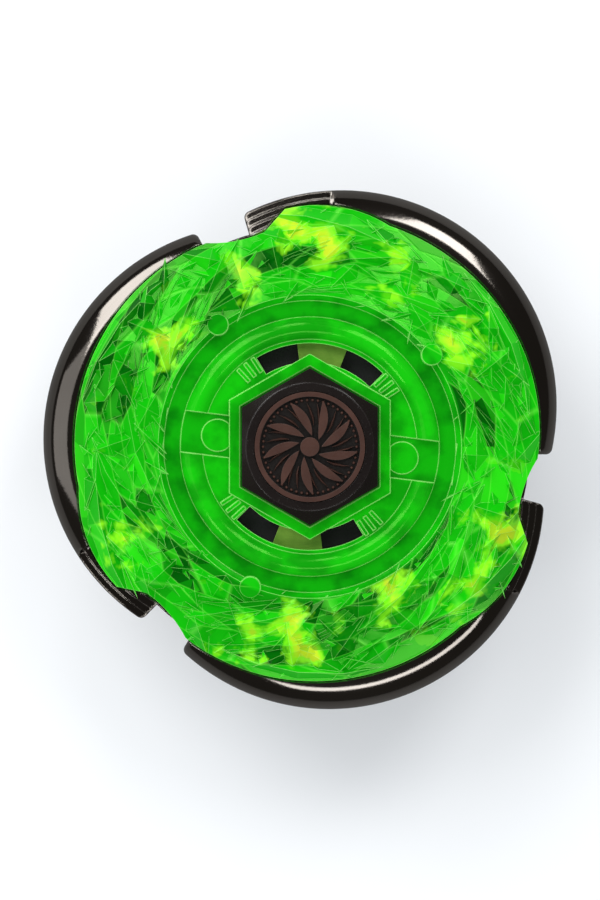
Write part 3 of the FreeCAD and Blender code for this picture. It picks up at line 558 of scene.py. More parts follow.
# %% Steel, nickel, brass, film and chip parts
finish(
    "polished_steel", (0.56, 0.57, 0.59), (0.66, 0.66, 0.68), (0.05, 0.12), grain=0.01, plain=METAL)
finish(
    "plain_steel", (0.42, 0.43, 0.42), (0.56, 0.57, 0.54), (0.22, 0.36), edge=(0.75, 0.75, 0.75),
    grain=0.12, turned=True, plain=METAL)
finish(
    "passivated_steel", (0.10, 0.26, 0.02), (0.26, 0.46, 0.05), (0.26, 0.42), edge=(0.5, 0.7, 0.2),
    grain=0.12, cloud_scale=260.0, plain={"Metallic": 0.3})
finish(
    "nickel_strip", (0.50, 0.48, 0.44), (0.64, 0.62, 0.57), (0.16, 0.28), edge=(0.8, 0.78, 0.72),
    grain=0.05, plain=METAL)
finish(
    "can_metal", (0.62, 0.63, 0.65), (0.72, 0.72, 0.74), (0.18, 0.30), grain=0.04, plain=METAL)
finish(
    "plain_brass", (0.60, 0.38, 0.10), (0.72, 0.50, 0.18), (0.20, 0.34), edge=(0.85, 0.65, 0.3),
    grain=0.08, plain=METAL)
finish(
    "metal_film", (0.62, 0.66, 0.62), (0.78, 0.80, 0.76), (0.14, 0.26), grain=0.35,
    cloud_scale=400.0, grain_scale=1200.0, plain=METAL)
finish(
    "ceramic_chip", (0.02, 0.02, 0.022), (0.05, 0.045, 0.04), (0.30, 0.45), edge=(0.6, 0.6, 0.6),
    edge_share=1.0)
print(len(finishes), "finishes so far")

# %% [markdown]
# ## Dark plating
# The wheel is plastic with a vacuum-plated dark chrome skin under lacquer. It mirrors as chrome
# does but gives back only a part of the light, so it reads near-black with white streaks. A
# metallic base of a dark warm grey under a thin clear coat does that, and a pale edge colour paints
# a highlight along the edges.

# %% Dark chrome with a lacquer coat
finish(
    "dark_plating", (0.15, 0.135, 0.12), (0.23, 0.21, 0.19), (0.05, 0.12),
    # The pale edge colour is a painted highlight.
    edge=(0.66, 0.63, 0.58), edge_radius=0.00025, edge_share=0.7, grain=0.02, cloud_scale=60.0,
    dusty=0.08, plain={"Metallic": 1.0, "Coat Weight": 0.4, "Coat Roughness": 0.05})
print("plating ready")

# %% [markdown]
# ## Facets inside the clear ring
# The underside of the crystal ring is cut into splinters too. Modelling them twice would be
# wasted, so a cell pattern paints how they show through: a web of fine pale lines, which are
# painted reflections, between lighter and darker cells, which are painted highlight and shade. Its
# cells are laid out on a cone swirled about the axis, which stretches them along the ring without a
# seam, and it fades out towards the plain hub.

# %% Swirled cell pattern
CELL_CIRCLE, CELL_RISE = 0.009, 1.7        # the cone's radius, and its rise along the ring's radius
CELL_LINE, ZONE_FADE = 0.045, 0.0004       # width of the pale lines, and of the zone's border
# Cells past these random values take the painted shade.
POCKETS = (0.60, 0.74)                     # random values at which a cell starts to go deep


def build_inner_facets():
    group, given, result = new_group(
        "inner_facets", {"Cell Scale": 330.0, "Swirl": 95.0, "From Radius": 0.0144},
        ("Line", "Cell", "Pocket", "Zone"))
    level = flat_part(group, object_place(group))
    radius = vector_maths(group, "LENGTH", level)
    around = vector_maths(group, "SCALE", vector_maths(group, "NORMALIZE", level), CELL_CIRCLE)
    turned = add_node(group, "ShaderNodeVectorRotate", {
        "Vector": around, "Angle": multiply(group, radius, given["Swirl"])}, rotation_type="Z_AXIS")
    rise = add_node(group, "ShaderNodeCombineXYZ", {"Z": multiply(group, radius, CELL_RISE)})
    cone = vector_maths(group, "ADD", turned.outputs["Vector"], rise.outputs["Vector"])
    seams, cells = [
        add_node(group, "ShaderNodeTexVoronoi", {"Vector": cone, "Scale": given["Cell Scale"]},
                 feature=feature).outputs
        for feature in ("DISTANCE_TO_EDGE", "F1")]
    shade = add_node(group, "ShaderNodeSeparateColor", {"Color": cells["Color"]}).outputs
    zone_end = maths(group, "ADD", given["From Radius"], ZONE_FADE)
    zone = map_range(group, radius, given["From Radius"], zone_end)
    line = map_range(group, seams["Distance"], 0.0, CELL_LINE, 1.0, 0.0)
    set_sockets(group, result, {
        "Line": multiply(group, line, zone), "Cell": shade["Red"],
        "Pocket": map_range(group, shade["Green"], *POCKETS), "Zone": zone})
    return group


inner_facets_group = build_inner_facets()
print("group", inner_facets_group.name)

# %% [markdown]
# ## Clear green
# The crystal ring is fluorescent clear plastic over bright film. Its light and shade are painted
# into its colour and a weak emission: a painted glow, painted lime glints on a few chosen crystals,
# painted shade in deep green pockets, and a painted highlight as a pale line on every edge. A
# random value for each facet's direction and each inner cell picks between the painted shade and
# highlight.

# %% Values that pick the green
# Centres of the painted lime glints.
GLINT_SPOTS = (                # (angle, radius) of the crystals that gather the most light
    (35, 18.2), (65, 18.8), (85, 19.8), (95, 20.4), (112, 16.5), (143, 16.8), (207, 19.8),
    (252, 20.0), (262, 17.6), (271, 19.0), (298, 16.0), (318, 20.5), (335, 19.8))
GLINT_REACH = 4.0              # millimetres
FACET_SNAP, WALL_VALUE = 0.08, 0.4


def facet_value(tree):
    """Random value that is the same over one flat facet, and even over the upright walls."""
    normal = true_normal(tree)
    snapped = vector_maths(tree, "SNAP", normal, (FACET_SNAP,) * 3)
    random = add_node(tree, "ShaderNodeTexWhiteNoise", {"Vector": snapped}).outputs["Value"]
    return mix_numbers(tree, map_range(tree, upward(tree, normal), 0.05, 0.25), WALL_VALUE, random)


def painted_glints(tree, level, cloud):
    """Mask of the painted glints, rising towards their spots, with ragged borders."""
    near = 0.0
    for angle, radius in GLINT_SPOTS:
        spot = (*flat_point(angle, radius) * MM, 0.0)
        away = vector_maths(tree, "DISTANCE", level, spot)
        near = maths(tree, "MAXIMUM", near, map_range(tree, away, 0.0, GLINT_REACH * MM, 1.0, 0.0))
    return maths(tree, "ADD", near, map_range(tree, cloud, 0.35, 0.65, -0.55, 0.55))


def painted_shade(tree, height, random, cloud, inner):
    """Painted shade: in the hub's recesses and soft clouds, and by facet and cell outside the hub.
    """
    cloudy = map_range(tree, cloud, 0.42, 0.62, 0.0, 0.45)
    # Below the hub's top, in the groove and the tab recesses, the green takes painted shade.
    recess_shade = map_range(tree, height, (hub_top - 0.35) * MM, (hub_top - 0.05) * MM,
                          maths(tree, "ADD", cloudy, 0.40), 0.0)
    pocket_shade = multiply(tree, inner["Pocket"], map_range(tree, random, 0.0, 0.6, 0.45, 0.95))
    facet_shade = multiply(tree, inner["Cell"], multiply(tree, random, 0.7))
    return mix_numbers(tree, inner["Zone"], maths(tree, "MAXIMUM", recess_shade, cloudy),
                       maths(tree, "MAXIMUM", pocket_shade, facet_shade))


print(len(GLINT_SPOTS), "lime spots")

# %% [markdown]
# The colour is then built up in layers over a middle green: the painted shade, the painted
# highlight on some facets, the painted lime glints, the painted reflections as pale lines between
# the inner cells and the painted highlights as pale outlines of the edges. The finished colour
# feeds the base colour and the weak emission alike, and that emission is a painted glow.

# %% Fluorescent clear plastic
# Over the middle green: painted shade, painted highlight, painted glints, painted reflections.
GREEN, SHADE_GREEN, HIGHLIGHT_GREEN = (0.006, 0.45, 0.004), (0.0, 0.075, 0.002), (0.03, 0.74, 0.01)
GLINT_LIME, GLINT_YELLOW = (0.32, 0.90, 0.02), (0.62, 0.72, 0.03)
REFLECTION_LINE, HIGHLIGHT_EDGE = (0.20, 0.90, 0.08), (0.36, 0.92, 0.22)
HUB_EDGE, FACET_EDGE = 0.15, 0.08          # millimetres that an edge is rounded by
# Between these radii the painted edge highlights grow paler towards the rim.
RIM_START, RIM_END = 20.3, 21.3            # radii between which the outlines grow paler


def clear_green():
    tree, shader = new_finish("clear_green")
    mottle = place_group(tree, mottle_group, {"Cloud Scale": 330.0, "Grain Scale": 900.0})
    inner = place_group(tree, inner_facets_group)
    zone = inner["Zone"]
    rounded = place_group(tree, rounded_edges_group, {
        "Radius": mix_numbers(tree, zone, HUB_EDGE * MM, FACET_EDGE * MM), "Spread": 5.0})
    place = object_place(tree)
    level = flat_part(tree, place)
    random = facet_value(tree)
    # The deep green is painted shade, and the brighter facets a painted highlight.
    deep = painted_shade(tree, height_part(tree, place), random, mottle["Cloud"], inner)
    facet_highlight = multiply(tree, zone, map_range(tree, random, 0.75, 1.0, 0.0, 0.7))
    # Lime glints painted on a few crystals.
    glint_near = painted_glints(tree, level, mottle["Cloud"])
    glint = multiply(tree, map_range(tree, glint_near, 0.50, 0.85),
                    map_range(tree, random, 0.1, 0.5, 0.25, 0.85))
    glint_tint = mix_colours(tree, map_range(tree, glint_near, 0.95, 1.2), GLINT_LIME, GLINT_YELLOW)
    radius = vector_maths(tree, "LENGTH", level)
    rim = map_range(tree, radius, RIM_START * MM, RIM_END * MM, 0.6, 0.95)
    # Pale outlines along the edges are a painted highlight, paler towards the rim.
    outline = multiply(tree, rounded["Mask"], mix_numbers(tree, zone, 0.95, rim))
    colour = layer_colours(tree, GREEN, (
        (deep, SHADE_GREEN), (facet_highlight, HIGHLIGHT_GREEN), (multiply(tree, glint, zone), glint_tint),
        (multiply(tree, inner["Line"], 0.28), REFLECTION_LINE), (outline, HIGHLIGHT_EDGE)))
    ripple = maths(tree, "SUBTRACT", mottle["Cloud"], inner["Line"])
    # The emission is a painted glow.
    set_sockets(tree, shader, {
        "Base Color": colour, "Emission Color": colour, "Emission Strength": 0.28,
        "Roughness": spread_noise(tree, mottle["Grain"], 0.06, 0.16),
        "Normal": bumps(tree, ripple, strength=0.10, depth=0.0003, normal=rounded["Normal"]),
        "Transmission Weight": 0.2, "IOR": 1.49, "Specular Tint": (0.40, 1.0, 0.20)})


clear_green()
print("clear green ready")

# %% [markdown]
# ## Badge
# The badge is one moulding: its recess is left black and its raised lines are rubbed with satin
# brown, so the colour follows height. The rubbing is heavier on the edges.

# %% Brown relief over a black recess
RECESS_TOP, RELIEF_TOP = badge_top - 0.42, badge_top - 0.2    # black up to here, brown from here
RECESS_BLACK, RUBBED_EDGE = (0.010, 0.008, 0.007), (0.17, 0.095, 0.075)
BROWNS = (0.034, 0.015, 0.011), (0.080, 0.036, 0.026)


def brown_relief():
    tree, shader = new_finish("brown_plastic")
    mottle = place_group(tree, mottle_group, {"Cloud Scale": 500.0, "Grain Scale": 5000.0})
    rounded = place_group(tree, rounded_edges_group, {"Radius": 0.00008})
    height = height_part(tree, object_place(tree))
    colour = layer_colours(tree, RECESS_BLACK, (
        (map_range(tree, height, RECESS_TOP * MM, RELIEF_TOP * MM),
         mix_colours(tree, mottle["Cloud"], *BROWNS)),
        (multiply(tree, rounded["Mask"], 0.35), RUBBED_EDGE)))
    set_sockets(tree, shader, {
        "Base Color": colour, "Roughness": spread_noise(tree, mottle["Grain"], 0.28, 0.5),
        "Normal": bumps(tree, mottle["Grain"], strength=0.15, depth=0.0001,
                        normal=rounded["Normal"]),
        "Specular IOR Level": 0.2})


brown_relief()
print("badge finish ready")

# %% [markdown]
# ## Board and lamps
# The board is glass laminate under a green mask, and its weave shows as a faint check. The lamps
# are water-clear resin, so they take real transmission with a resin's index of refraction.

# %% Board laminate and lamp resin
MASK_GREENS, WEAVE_GREEN = ((0.004, 0.06, 0.02), (0.008, 0.11, 0.035)), (0.03, 0.2, 0.06)
RESIN_TINTS = (0.80, 0.90, 0.82), (0.92, 0.97, 0.93)


def board_laminate():
    tree, shader = new_finish("board_laminate")
    weave = add_node(tree, "ShaderNodeTexChecker", {"Vector": object_place(tree), "Scale": 2600.0})
    mottle = place_group(tree, mottle_group, {"Cloud Scale": 300.0})
    mask = mix_colours(tree, mottle["Cloud"], *MASK_GREENS)
    faint = multiply(tree, weave.outputs["Fac"], 0.15)
    set_sockets(tree, shader, {
        "Base Color": mix_colours(tree, faint, mask, WEAVE_GREEN),
        "Roughness": spread_noise(tree, mottle["Grain"], 0.25, 0.4)})


def lamp_resin():
    tree, shader = new_finish("lamp_resin")
    mottle = place_group(tree, mottle_group, {"Cloud Scale": 200.0})
    set_sockets(tree, shader, {
        "Base Color": mix_colours(tree, mottle["Cloud"], *RESIN_TINTS),
        "Roughness": spread_noise(tree, mottle["Grain"], 0.03, 0.08),
        "Transmission Weight": 0.9, "IOR": 1.5})


board_laminate()
lamp_resin()
print(len(finishes), "finishes in all")

# %% [markdown]
# ## Dressing the solid pieces
# The record says which finish each piece takes, so a loop puts the right material on every CAD
# piece, and a new piece can't be forgotten. Only the catch plate gets its own kind of steel.

# %% Materials by slot
slot_of = {part["node"]: part["material_slot"] for part in frame["record"]["subparts"]}
for name, node in nodes.items():
    node.data.materials.clear()
    node.data.materials.append(
        finishes["passivated_steel" if name == "catch_plate" else slot_of[name]])
print("dressed", len(nodes), "pieces from", len(finishes), "finishes")

# %% [markdown]
# ## Mesh helpers
# A new piece starts as points and faces in millimetres. The helpers make the mesh, merge doubled
# points, turn the faces outwards and shade it smooth except across sharp edges. The last one makes
# the object and says which body it rides on and which finish of the record it stands for.

# %% From points and faces to a finished object
MERGE = 0.002                 # points closer than this are one


def tidy_mesh(mesh, sharp, turn_outwards=True):
    """Merges doubled points, turns faces outwards, and shades smooth below the sharp angle."""
    work = bmesh.new()
    work.from_mesh(mesh)
    bmesh.ops.remove_doubles(work, verts=work.verts, dist=MERGE * MM)
    bmesh.ops.dissolve_degenerate(work, edges=work.edges, dist=MERGE / 2 * MM)
    if turn_outwards:
        bmesh.ops.recalc_face_normals(work, faces=work.faces)
    work.to_mesh(mesh)
    work.free()
    mesh.polygons.foreach_set("use_smooth", [True] * len(mesh.polygons))
    mesh.set_sharp_from_angle(angle=math.radians(sharp))


def new_mesh(name, points, faces):
    """Mesh from points in millimetres."""
    mesh = bpy.data.meshes.new(name)
    mesh.from_pydata([tuple(c * MM for c in p) for p in points], [], faces)
    return mesh


def add_piece(name, mesh, slot):
    """Object of the top from a mesh, dressed in a finish."""
    mesh.materials.clear()
    mesh.materials.append(finishes[slot])
    piece = add_object(name, mesh)
    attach(piece, "top")
    return piece


print("mesh helpers ready")

# %% [markdown]
# The wheel, the ribs, the beads and the sheet under the splinters are all drawn as rows of points.
# One helper joins neighbouring rows by quads, whatever the rows are, and another keeps a value
# between two limits.

# %% Joining rows of points
def join_rows(starts, size, closed=True):
    """Quads between neighbouring rows, given each row's first index and the rows' size."""
    ahead = [*range(1, size)] + [0] * closed
    return [(a + i, b + i, b + j, a + j) for a, b in zip(starts, starts[1:])
            for i, j in zip(range(size), ahead)]


def limit(value, low=0.0, high=1.0):
    return min(max(value, low), high)


print("two closed rows of three points take", len(join_rows([0, 3], 3)), "quads")

# %% [markdown]
# ## Attack wheel
# Mirror-like plating shows every flat in a mesh, so the wheel is rebuilt with a fine regular grid.
# Each column of the grid is the wheel's section at one angle. The three wings are discs struck
# from centres off the spin axis, so a little trigonometry gives their radius at any angle. The
# section runs up the bore, over the seat of the green ring, round the rolled rim, down the fluted
# flank and back along the underside, and neighbouring columns are joined by quads.

# %% Wheel dimensions, in millimetres where nothing else is said
NOTCH, NOTCH_HALF = -8.0, 6.0              # degrees: the first notch's middle, and half its width
THIRD = 120.0                              # degrees from one notch or wing to the next
LOBE_OFFSET, LOBE_RADIUS, RIM_ROLL = 5.0, 20.8, 2.8
FLANK_HEIGHT, FLANK_INSET, FOOT_INSET = 2.4, 1.0, 3.0
NOTCH_FLOOR, HUB_CHAMFER = 21.2, 1.2
BORE = 13.3
POCKET_INNER, POCKET_OUTER, POCKET_HEIGHT = 15.4, 20.2, 4.0
SEAT_GAP = 0.15
END_FILLET = 0.5
STEP_START, STEP_WIDTH, STEPS = 0.6, 0.7, 3
STEP_FROM, STEP_EASE, STEP_SLANT = 40.0, 0.6, 0.14    # first degree, degrees to ease in, slope
FLUTES, FLUTE_SPREAD, FLUTE_RADIUS, FLUTE_DEPTH = 9, 88.0, 0.9, 0.55
FLUTE_TOP, FLUTE_FADE = 0.8, 1.0
roll_centre = wheel_top - RIM_ROLL


def lobe_reach(distance, angle_from_middle):
    """Radius from the spin axis of a point at a distance from the lobe's own centre."""
    turn = math.radians(angle_from_middle)
    across = LOBE_OFFSET * math.sin(turn)
    return LOBE_OFFSET * math.cos(turn) + math.sqrt(distance ** 2 - across ** 2)


def lobe_distance(radius, angle_from_middle):
    """Distance from the lobe's own centre of a point at a radius from the spin axis."""
    turn = math.radians(angle_from_middle)
    return math.sqrt(radius ** 2 + LOBE_OFFSET ** 2 - 2 * radius * LOBE_OFFSET * math.cos(turn))


def lobe_angle(radius, angle_from_middle):
    """Angle about the lobe's own centre, in degrees."""
    turn = math.radians(angle_from_middle)
    return math.degrees(math.atan2(radius * math.sin(turn), radius * math.cos(turn) - LOBE_OFFSET))


print("a wing reaches %.1f mm in its middle and %.1f mm at its ends" % (
    lobe_reach(LOBE_RADIUS, 0), lobe_reach(LOBE_RADIUS, 54)))

# %% [markdown]
# ## Ring's edge
# The wheel's seat follows the green ring's edge. The edge is given as a few arcs through three
# points, counted from a notch, with one straight step between them. Where a ray from the axis
# meets the arc's circle is the edge's radius at that angle.

# %% Outline of the green ring
def through_three(a, b, c):
    """Centre and radius of the circle through three points."""
    d = 2 * (a.x * (b.y - c.y) + b.x * (c.y - a.y) + c.x * (a.y - b.y))
    aa, bb, cc = a.length_squared, b.length_squared, c.length_squared
    centre = Vector(((aa * (b.y - c.y) + bb * (c.y - a.y) + cc * (a.y - b.y)) / d,
                     (aa * (c.x - b.x) + bb * (a.x - c.x) + cc * (b.x - a.x)) / d))
    return centre, (centre - a).length


OUTLINE_ARCS = (              # (turn from a notch, radius) at the start, middle and end of each arc
    ((5.0, 21.9), (16.0, 22.2), (34.0, 22.5)),
    ((34.0, 22.5), (55.0, 22.6), (78.0, 22.5)),
    ((78.0, 22.5), (94.0, 23.2), (104.0, 22.9)),
    ((110.0, 21.0), (117.0, 20.9), (125.0, 21.9)),
)


def outline_radius(turn, grow):
    """Radius of the green ring's edge, made larger by grow, at an angle from a notch."""
    turn %= THIRD
    if turn < OUTLINE_ARCS[0][0][0]:
        turn += THIRD
    ray = flat_point(turn, 1.0)
    for spots in OUTLINE_ARCS:
        if spots[0][0] <= turn <= spots[2][0]:
            centre, size = through_three(*[flat_point(t, r + grow) for t, r in spots])
            along = ray.dot(centre)
            apart = math.sqrt(max(size ** 2 - (centre.length_squared - along ** 2), 0.0))
            return min((along - apart, along + apart), key=lambda r: abs(r - spots[1][1]))
    (t0, r0), (t1, r1) = OUTLINE_ARCS[2][2], OUTLINE_ARCS[3][0]
    a, b = flat_point(t0, r0 + grow), flat_point(t1, r1 + grow)
    side = b - a
    return (a.x * side.y - a.y * side.x) / (ray.x * side.y - ray.y * side.x)


print("outline radii:", [round(outline_radius(t, 0), 1) for t in range(0, 120, 15)])

# %% [markdown]
# ## Heights along a wing
# The rim is a quarter roll whose outer part steps down in three terraces towards the wing's
# trailing end. The flank below leans inwards in two slants and is hollowed by a row of flutes.
# Each is a short function of the place on the wing, so that any section can be worked out.

# %% Rim, terraces, flutes and flank
ROLL_TURNS = (50, 40, 31, 23, 16, 10, 5, 0)


def roll_rows():
    """Distances from the lobe's centre across the rolled rim; doubled where a terrace steps."""
    edges = [LOBE_RADIUS - RIM_ROLL + STEP_START + i * STEP_WIDTH for i in range(STEPS + 1)]
    rows = [(LOBE_RADIUS - RIM_ROLL + share * STEP_START, -1) for share in (0.0, 0.5)]
    for i, (inner, outer) in enumerate(zip(edges, edges[1:])):
        rows += [(inner, i - 1), (inner, i), ((inner + outer) / 2, i)]
    rows.append((edges[-1], STEPS - 1))
    for turn in ROLL_TURNS:
        distance = LOBE_RADIUS - RIM_ROLL + RIM_ROLL * math.cos(math.radians(turn))
        if distance > edges[-1]:
            rows.append((distance, STEPS))
    return rows


def roll_height(distance):
    across = limit(distance - LOBE_RADIUS + RIM_ROLL, 0.0, RIM_ROLL)
    return roll_centre + math.sqrt(RIM_ROLL ** 2 - across ** 2)


def stepped_height(distance, step, turn):
    """Rim height, lowered to a gently slanted terrace near the wing's trailing end."""
    plain = roll_height(distance)
    if step < 0 or step >= STEPS:
        return plain
    outer = LOBE_RADIUS - RIM_ROLL + STEP_START + (step + 1) * STEP_WIDTH
    level = min(roll_height(outer) + STEP_SLANT * (outer - distance), plain)
    return plain + (level - plain) * limit((turn - STEP_FROM) / STEP_EASE)


def flute_depth(height, turn, distance):
    """How far the flank is hollowed by the nearest flute."""
    pitch = FLUTE_SPREAD / (FLUTES - 1)
    nearest = limit(round((turn + FLUTE_SPREAD / 2) / pitch), 0, FLUTES - 1)
    off = math.radians(turn + FLUTE_SPREAD / 2 - nearest * pitch) * distance
    depth = max(math.sqrt(max(FLUTE_RADIUS ** 2 - off ** 2, 0.0)) - FLUTE_RADIUS + FLUTE_DEPTH, 0.0)
    return depth * math.sqrt(limit((roll_centre - FLUTE_TOP - height) / FLUTE_FADE))


def flank_distance(height):
    """Distance from the lobe's centre down the slanted flank."""
    base = wheel_bottom + FLANK_HEIGHT
    if height > base:
        return LOBE_RADIUS - FLANK_INSET * (roll_centre - height) / (roll_centre - base)
    return LOBE_RADIUS - FLANK_INSET - (FOOT_INSET - FLANK_INSET) * (base - height) / FLANK_HEIGHT


print(len(roll_rows()), "rows across the rolled rim")

# %% [markdown]
# ## Sections joined into the wheel
# A section runs from the seat outwards, over the rim or the notch's floor, down to the foot and
# back. A wing's section and a notch's section are given the same number of points, so that columns
# of both can join into one closed skin.

# %% Sections through a wing and a notch
FLANK_ROWS = 16
LEDGE_POINTS = 4              # across the floor of a notch


def underside():
    """The rest of every section, from the outer foot inwards and up the bore to the seat."""
    pocket_top = wheel_bottom + POCKET_HEIGHT
    return [(POCKET_OUTER, wheel_bottom), (POCKET_OUTER, pocket_top), (POCKET_INNER, pocket_top),
            (POCKET_INNER, wheel_bottom), (BORE, wheel_bottom), (BORE, seat_height)]


def lobe_section(turn, pull):
    """Section through a wing at an angle from its middle; pull draws its end in to round it."""
    seat = outline_radius(turn + THIRD / 2, SEAT_GAP)
    start = lobe_distance(seat, turn)
    flat = LOBE_RADIUS - RIM_ROLL
    section = [(seat, seat_height)]
    for share in (0.0, 0.5):
        distance = start + (max(flat, start) - start) * share
        section.append((lobe_reach(distance, turn), roll_height(distance)))
    for row, step in roll_rows():
        distance = max(row, start)
        radius = lobe_reach(distance, turn)
        section.append((radius, stepped_height(distance, step, lobe_angle(radius, turn))))
    for i in range(1, FLANK_ROWS + 1):
        height = roll_centre + (wheel_bottom - roll_centre) * i / FLANK_ROWS
        distance = flank_distance(height)
        radius = lobe_reach(distance, turn)
        distance -= flute_depth(height, lobe_angle(radius, turn), distance)
        section.append((lobe_reach(distance, turn), height))
    drawn_in = [(max(r - pull, seat if i == 0 else min(r, seat)), z)
                for i, (r, z) in enumerate(section)]
    return drawn_in + underside()


def notch_section(turn, rows):
    """Section through a notch, with the same number of points as a wing's."""
    foot = NOTCH_FLOOR - HUB_CHAMFER
    corner = wheel_bottom + HUB_CHAMFER
    seat = min(outline_radius(turn, SEAT_GAP), NOTCH_FLOOR)
    upper = rows // 2
    section = [(seat, seat_height)]
    section += [(seat + (NOTCH_FLOOR - seat) * limit(i / LEDGE_POINTS), seat_height)
                for i in range(1, upper)]
    for i in range(rows - upper):
        share = i / (rows - upper - 1)
        height = seat_height + (wheel_bottom - seat_height) * share
        radius = NOTCH_FLOOR if height > corner else foot + (height - wheel_bottom)
        section.append((radius, height))
    return section + underside()


print("sections of", len(lobe_section(0.0, 0.0)), "points")

# %% [markdown]
# The columns crowd together at a wing's ends, where the section is drawn in along a quarter circle
# to round the end off. The last column joins the first, which closes the wheel without a seam.

# %% Columns of the wheel joined into a mesh
WING_COLUMNS, NOTCH_COLUMNS = 210, 13
END_EASE = 1.3                # degrees over which a wing's end is rounded


def wheel_columns():
    """(angle, section) all the way round the wheel."""
    rows = len(lobe_section(0.0, 0.0)) - len(underside())
    end = THIRD / 2 - NOTCH_HALF
    eased = [END_EASE * (1 - math.cos(math.radians(a))) for a in range(0, 90, 15)]
    turns = [-end + e for e in eased]
    turns += list(np.linspace(-end + END_EASE, end - END_EASE, WING_COLUMNS))
    turns += [end - e for e in reversed(eased)]
    columns = []
    for third in range(3):
        base = NOTCH + third * THIRD
        for turn in np.linspace(-NOTCH_HALF, NOTCH_HALF, NOTCH_COLUMNS):
            columns.append((base + turn, notch_section(turn, rows)))
        for turn in turns:
            near = max(1 - (end - abs(turn)) / END_EASE, 0.0)
            pull = END_FILLET * (1 - math.sqrt(max(1 - near ** 2, 0.0)))
            columns.append((base + THIRD / 2 + turn, lobe_section(turn, pull)))
    return columns


def build_wheel():
    columns = wheel_columns()
    points = [(*flat_point(angle, r), z) for angle, section in columns for r, z in section]
    size = len(columns[0][1])
    starts = [c * size for c in range(len(columns))] + [0]
    mesh = new_mesh("plated_wheel", points, join_rows(starts, size))
    tidy_mesh(mesh, sharp=28.0)
    return add_piece("plated_wheel", mesh, "dark_plating")


wheel = build_wheel()
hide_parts("attack_wheel")
print("wheel with", len(wheel.data.polygons), "faces")

# %% [markdown]
# ## Smooth copy of the crystal ring
# The ring's solid is right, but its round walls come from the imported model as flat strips, which
# a glossy finish would show. A copy is merged and shaded smooth across small angles, while the
# crystals keep their sharp facets.

# %% Crystal ring
def build_ring():
    solid = nodes["light_ring"].data
    points = [tuple(vertex.co / MM) for vertex in solid.vertices]
    faces = [tuple(face.vertices) for face in solid.polygons]
    mesh = new_mesh("crystal_ring", points, faces)
    tidy_mesh(mesh, sharp=22.0, turn_outwards=False)
    ring = add_piece("crystal_ring", mesh, "clear_green")
    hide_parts("light_ring")
    return ring


ring = build_ring()
print("ring with", len(ring.data.polygons), "faces")

# %% [markdown]
# ## Geometry Nodes for what repeats
# Ribs, beads and rays repeat evenly about the spin axis. One small tree serves them all: it takes
# a piece at its first place and turns copies of it about the axis. The tree ends by making the
# copies real and giving them their finish, and the result is kept as a plain mesh.

# %% Tree that turns copies about the axis
def new_tree(name, inputs):
    """Geometry tree with a Piece input and the named inputs {name: socket type}."""
    tree = bpy.data.node_groups.new(name, "GeometryNodeTree")
    tree.interface.new_socket("Piece", in_out="INPUT", socket_type="NodeSocketGeometry")
    for label, kind in inputs.items():
        tree.interface.new_socket(label, in_out="INPUT", socket_type=kind)
    tree.interface.new_socket("Pieces", in_out="OUTPUT", socket_type="NodeSocketGeometry")
    return tree, tree.nodes.new("NodeGroupInput").outputs, tree.nodes.new("NodeGroupOutput")


def end_tree(tree, instances, finish_socket, result):
    """Make the instances real, set their material and put them out."""
    real = add_node(tree, "GeometryNodeRealizeInstances", {"Geometry": instances})
    painted = add_node(tree, "GeometryNodeSetMaterial", {
        "Geometry": real.outputs["Geometry"], "Material": finish_socket})
    feed(tree, result.inputs["Pieces"], painted.outputs["Geometry"])


def build_turned_copies():
    tree, given, result = new_tree("turned_copies", {
        "Count": "NodeSocketInt", "Step": "NodeSocketFloat", "Finish": "NodeSocketMaterial"})
    spots = add_node(tree, "GeometryNodePoints", {"Count": given["Count"]})
    index = add_node(tree, "GeometryNodeInputIndex").outputs["Index"]
    turn = add_node(tree, "FunctionNodeAxisAngleToRotation", {
        "Axis": (0.0, 0.0, 1.0), "Angle": multiply(tree, index, given["Step"])})
    copies = add_node(tree, "GeometryNodeInstanceOnPoints", {
        "Points": spots.outputs["Points"], "Instance": given["Piece"],
        "Rotation": turn.outputs["Rotation"]})
    end_tree(tree, copies.outputs["Instances"], given["Finish"], result)
    return tree


turned_copies_tree = build_turned_copies()
print("tree", turned_copies_tree.name)

# %% [markdown]
# A tree runs as a modifier on a source object. Its inputs are set by their sockets' identifiers
# before anything is evaluated. The evaluated result becomes a new mesh on a new object, and the
# source is removed, so that no live modifier is left behind.

# %% Running a tree to a plain mesh
def run_tree(tree, name, points, faces, slot, values, sharp):
    """Piece made by a tree from a source of points and faces, with the given input values."""
    source = add_object(name + "_source", new_mesh(name + "_source", points, faces))
    modifier = source.modifiers.new("nodes", "NODES")
    modifier.node_group = tree
    identifiers = {item.name: item.identifier for item in tree.interface.items_tree
                   if item.item_type == "SOCKET" and item.in_out == "INPUT"}
    for label, value in {**values, "Finish": finishes[slot]}.items():
        modifier[identifiers[label]] = value
    evaluated = source.evaluated_get(bpy.context.evaluated_depsgraph_get())
    made = bpy.data.meshes.new_from_object(evaluated)
    source.modifiers.remove(modifier)
    bpy.data.objects.remove(source)
    made.name = name
    tidy_mesh(made, sharp)
    return add_piece(name, made, slot)


def turn_copies(name, shape, slot, count, sharp):
    """Piece made of copies of a shape that are turned evenly about the axis."""
    return run_tree(turned_copies_tree, name, *shape, slot,
                    {"Count": count, "Step": math.radians(360 / count)}, sharp)


print("tree runner ready")

# %% [markdown]
# ## Fine ribs on the ring
# Thin ribs sweep over the plateau between the big crystals, from the groove outwards against the
# spin, in bundles of parallel lines. A rib is a three-sided ridge that follows the sloping plateau
# and comes to a point at both ends. One third of the ring is drawn and two copies are turned.

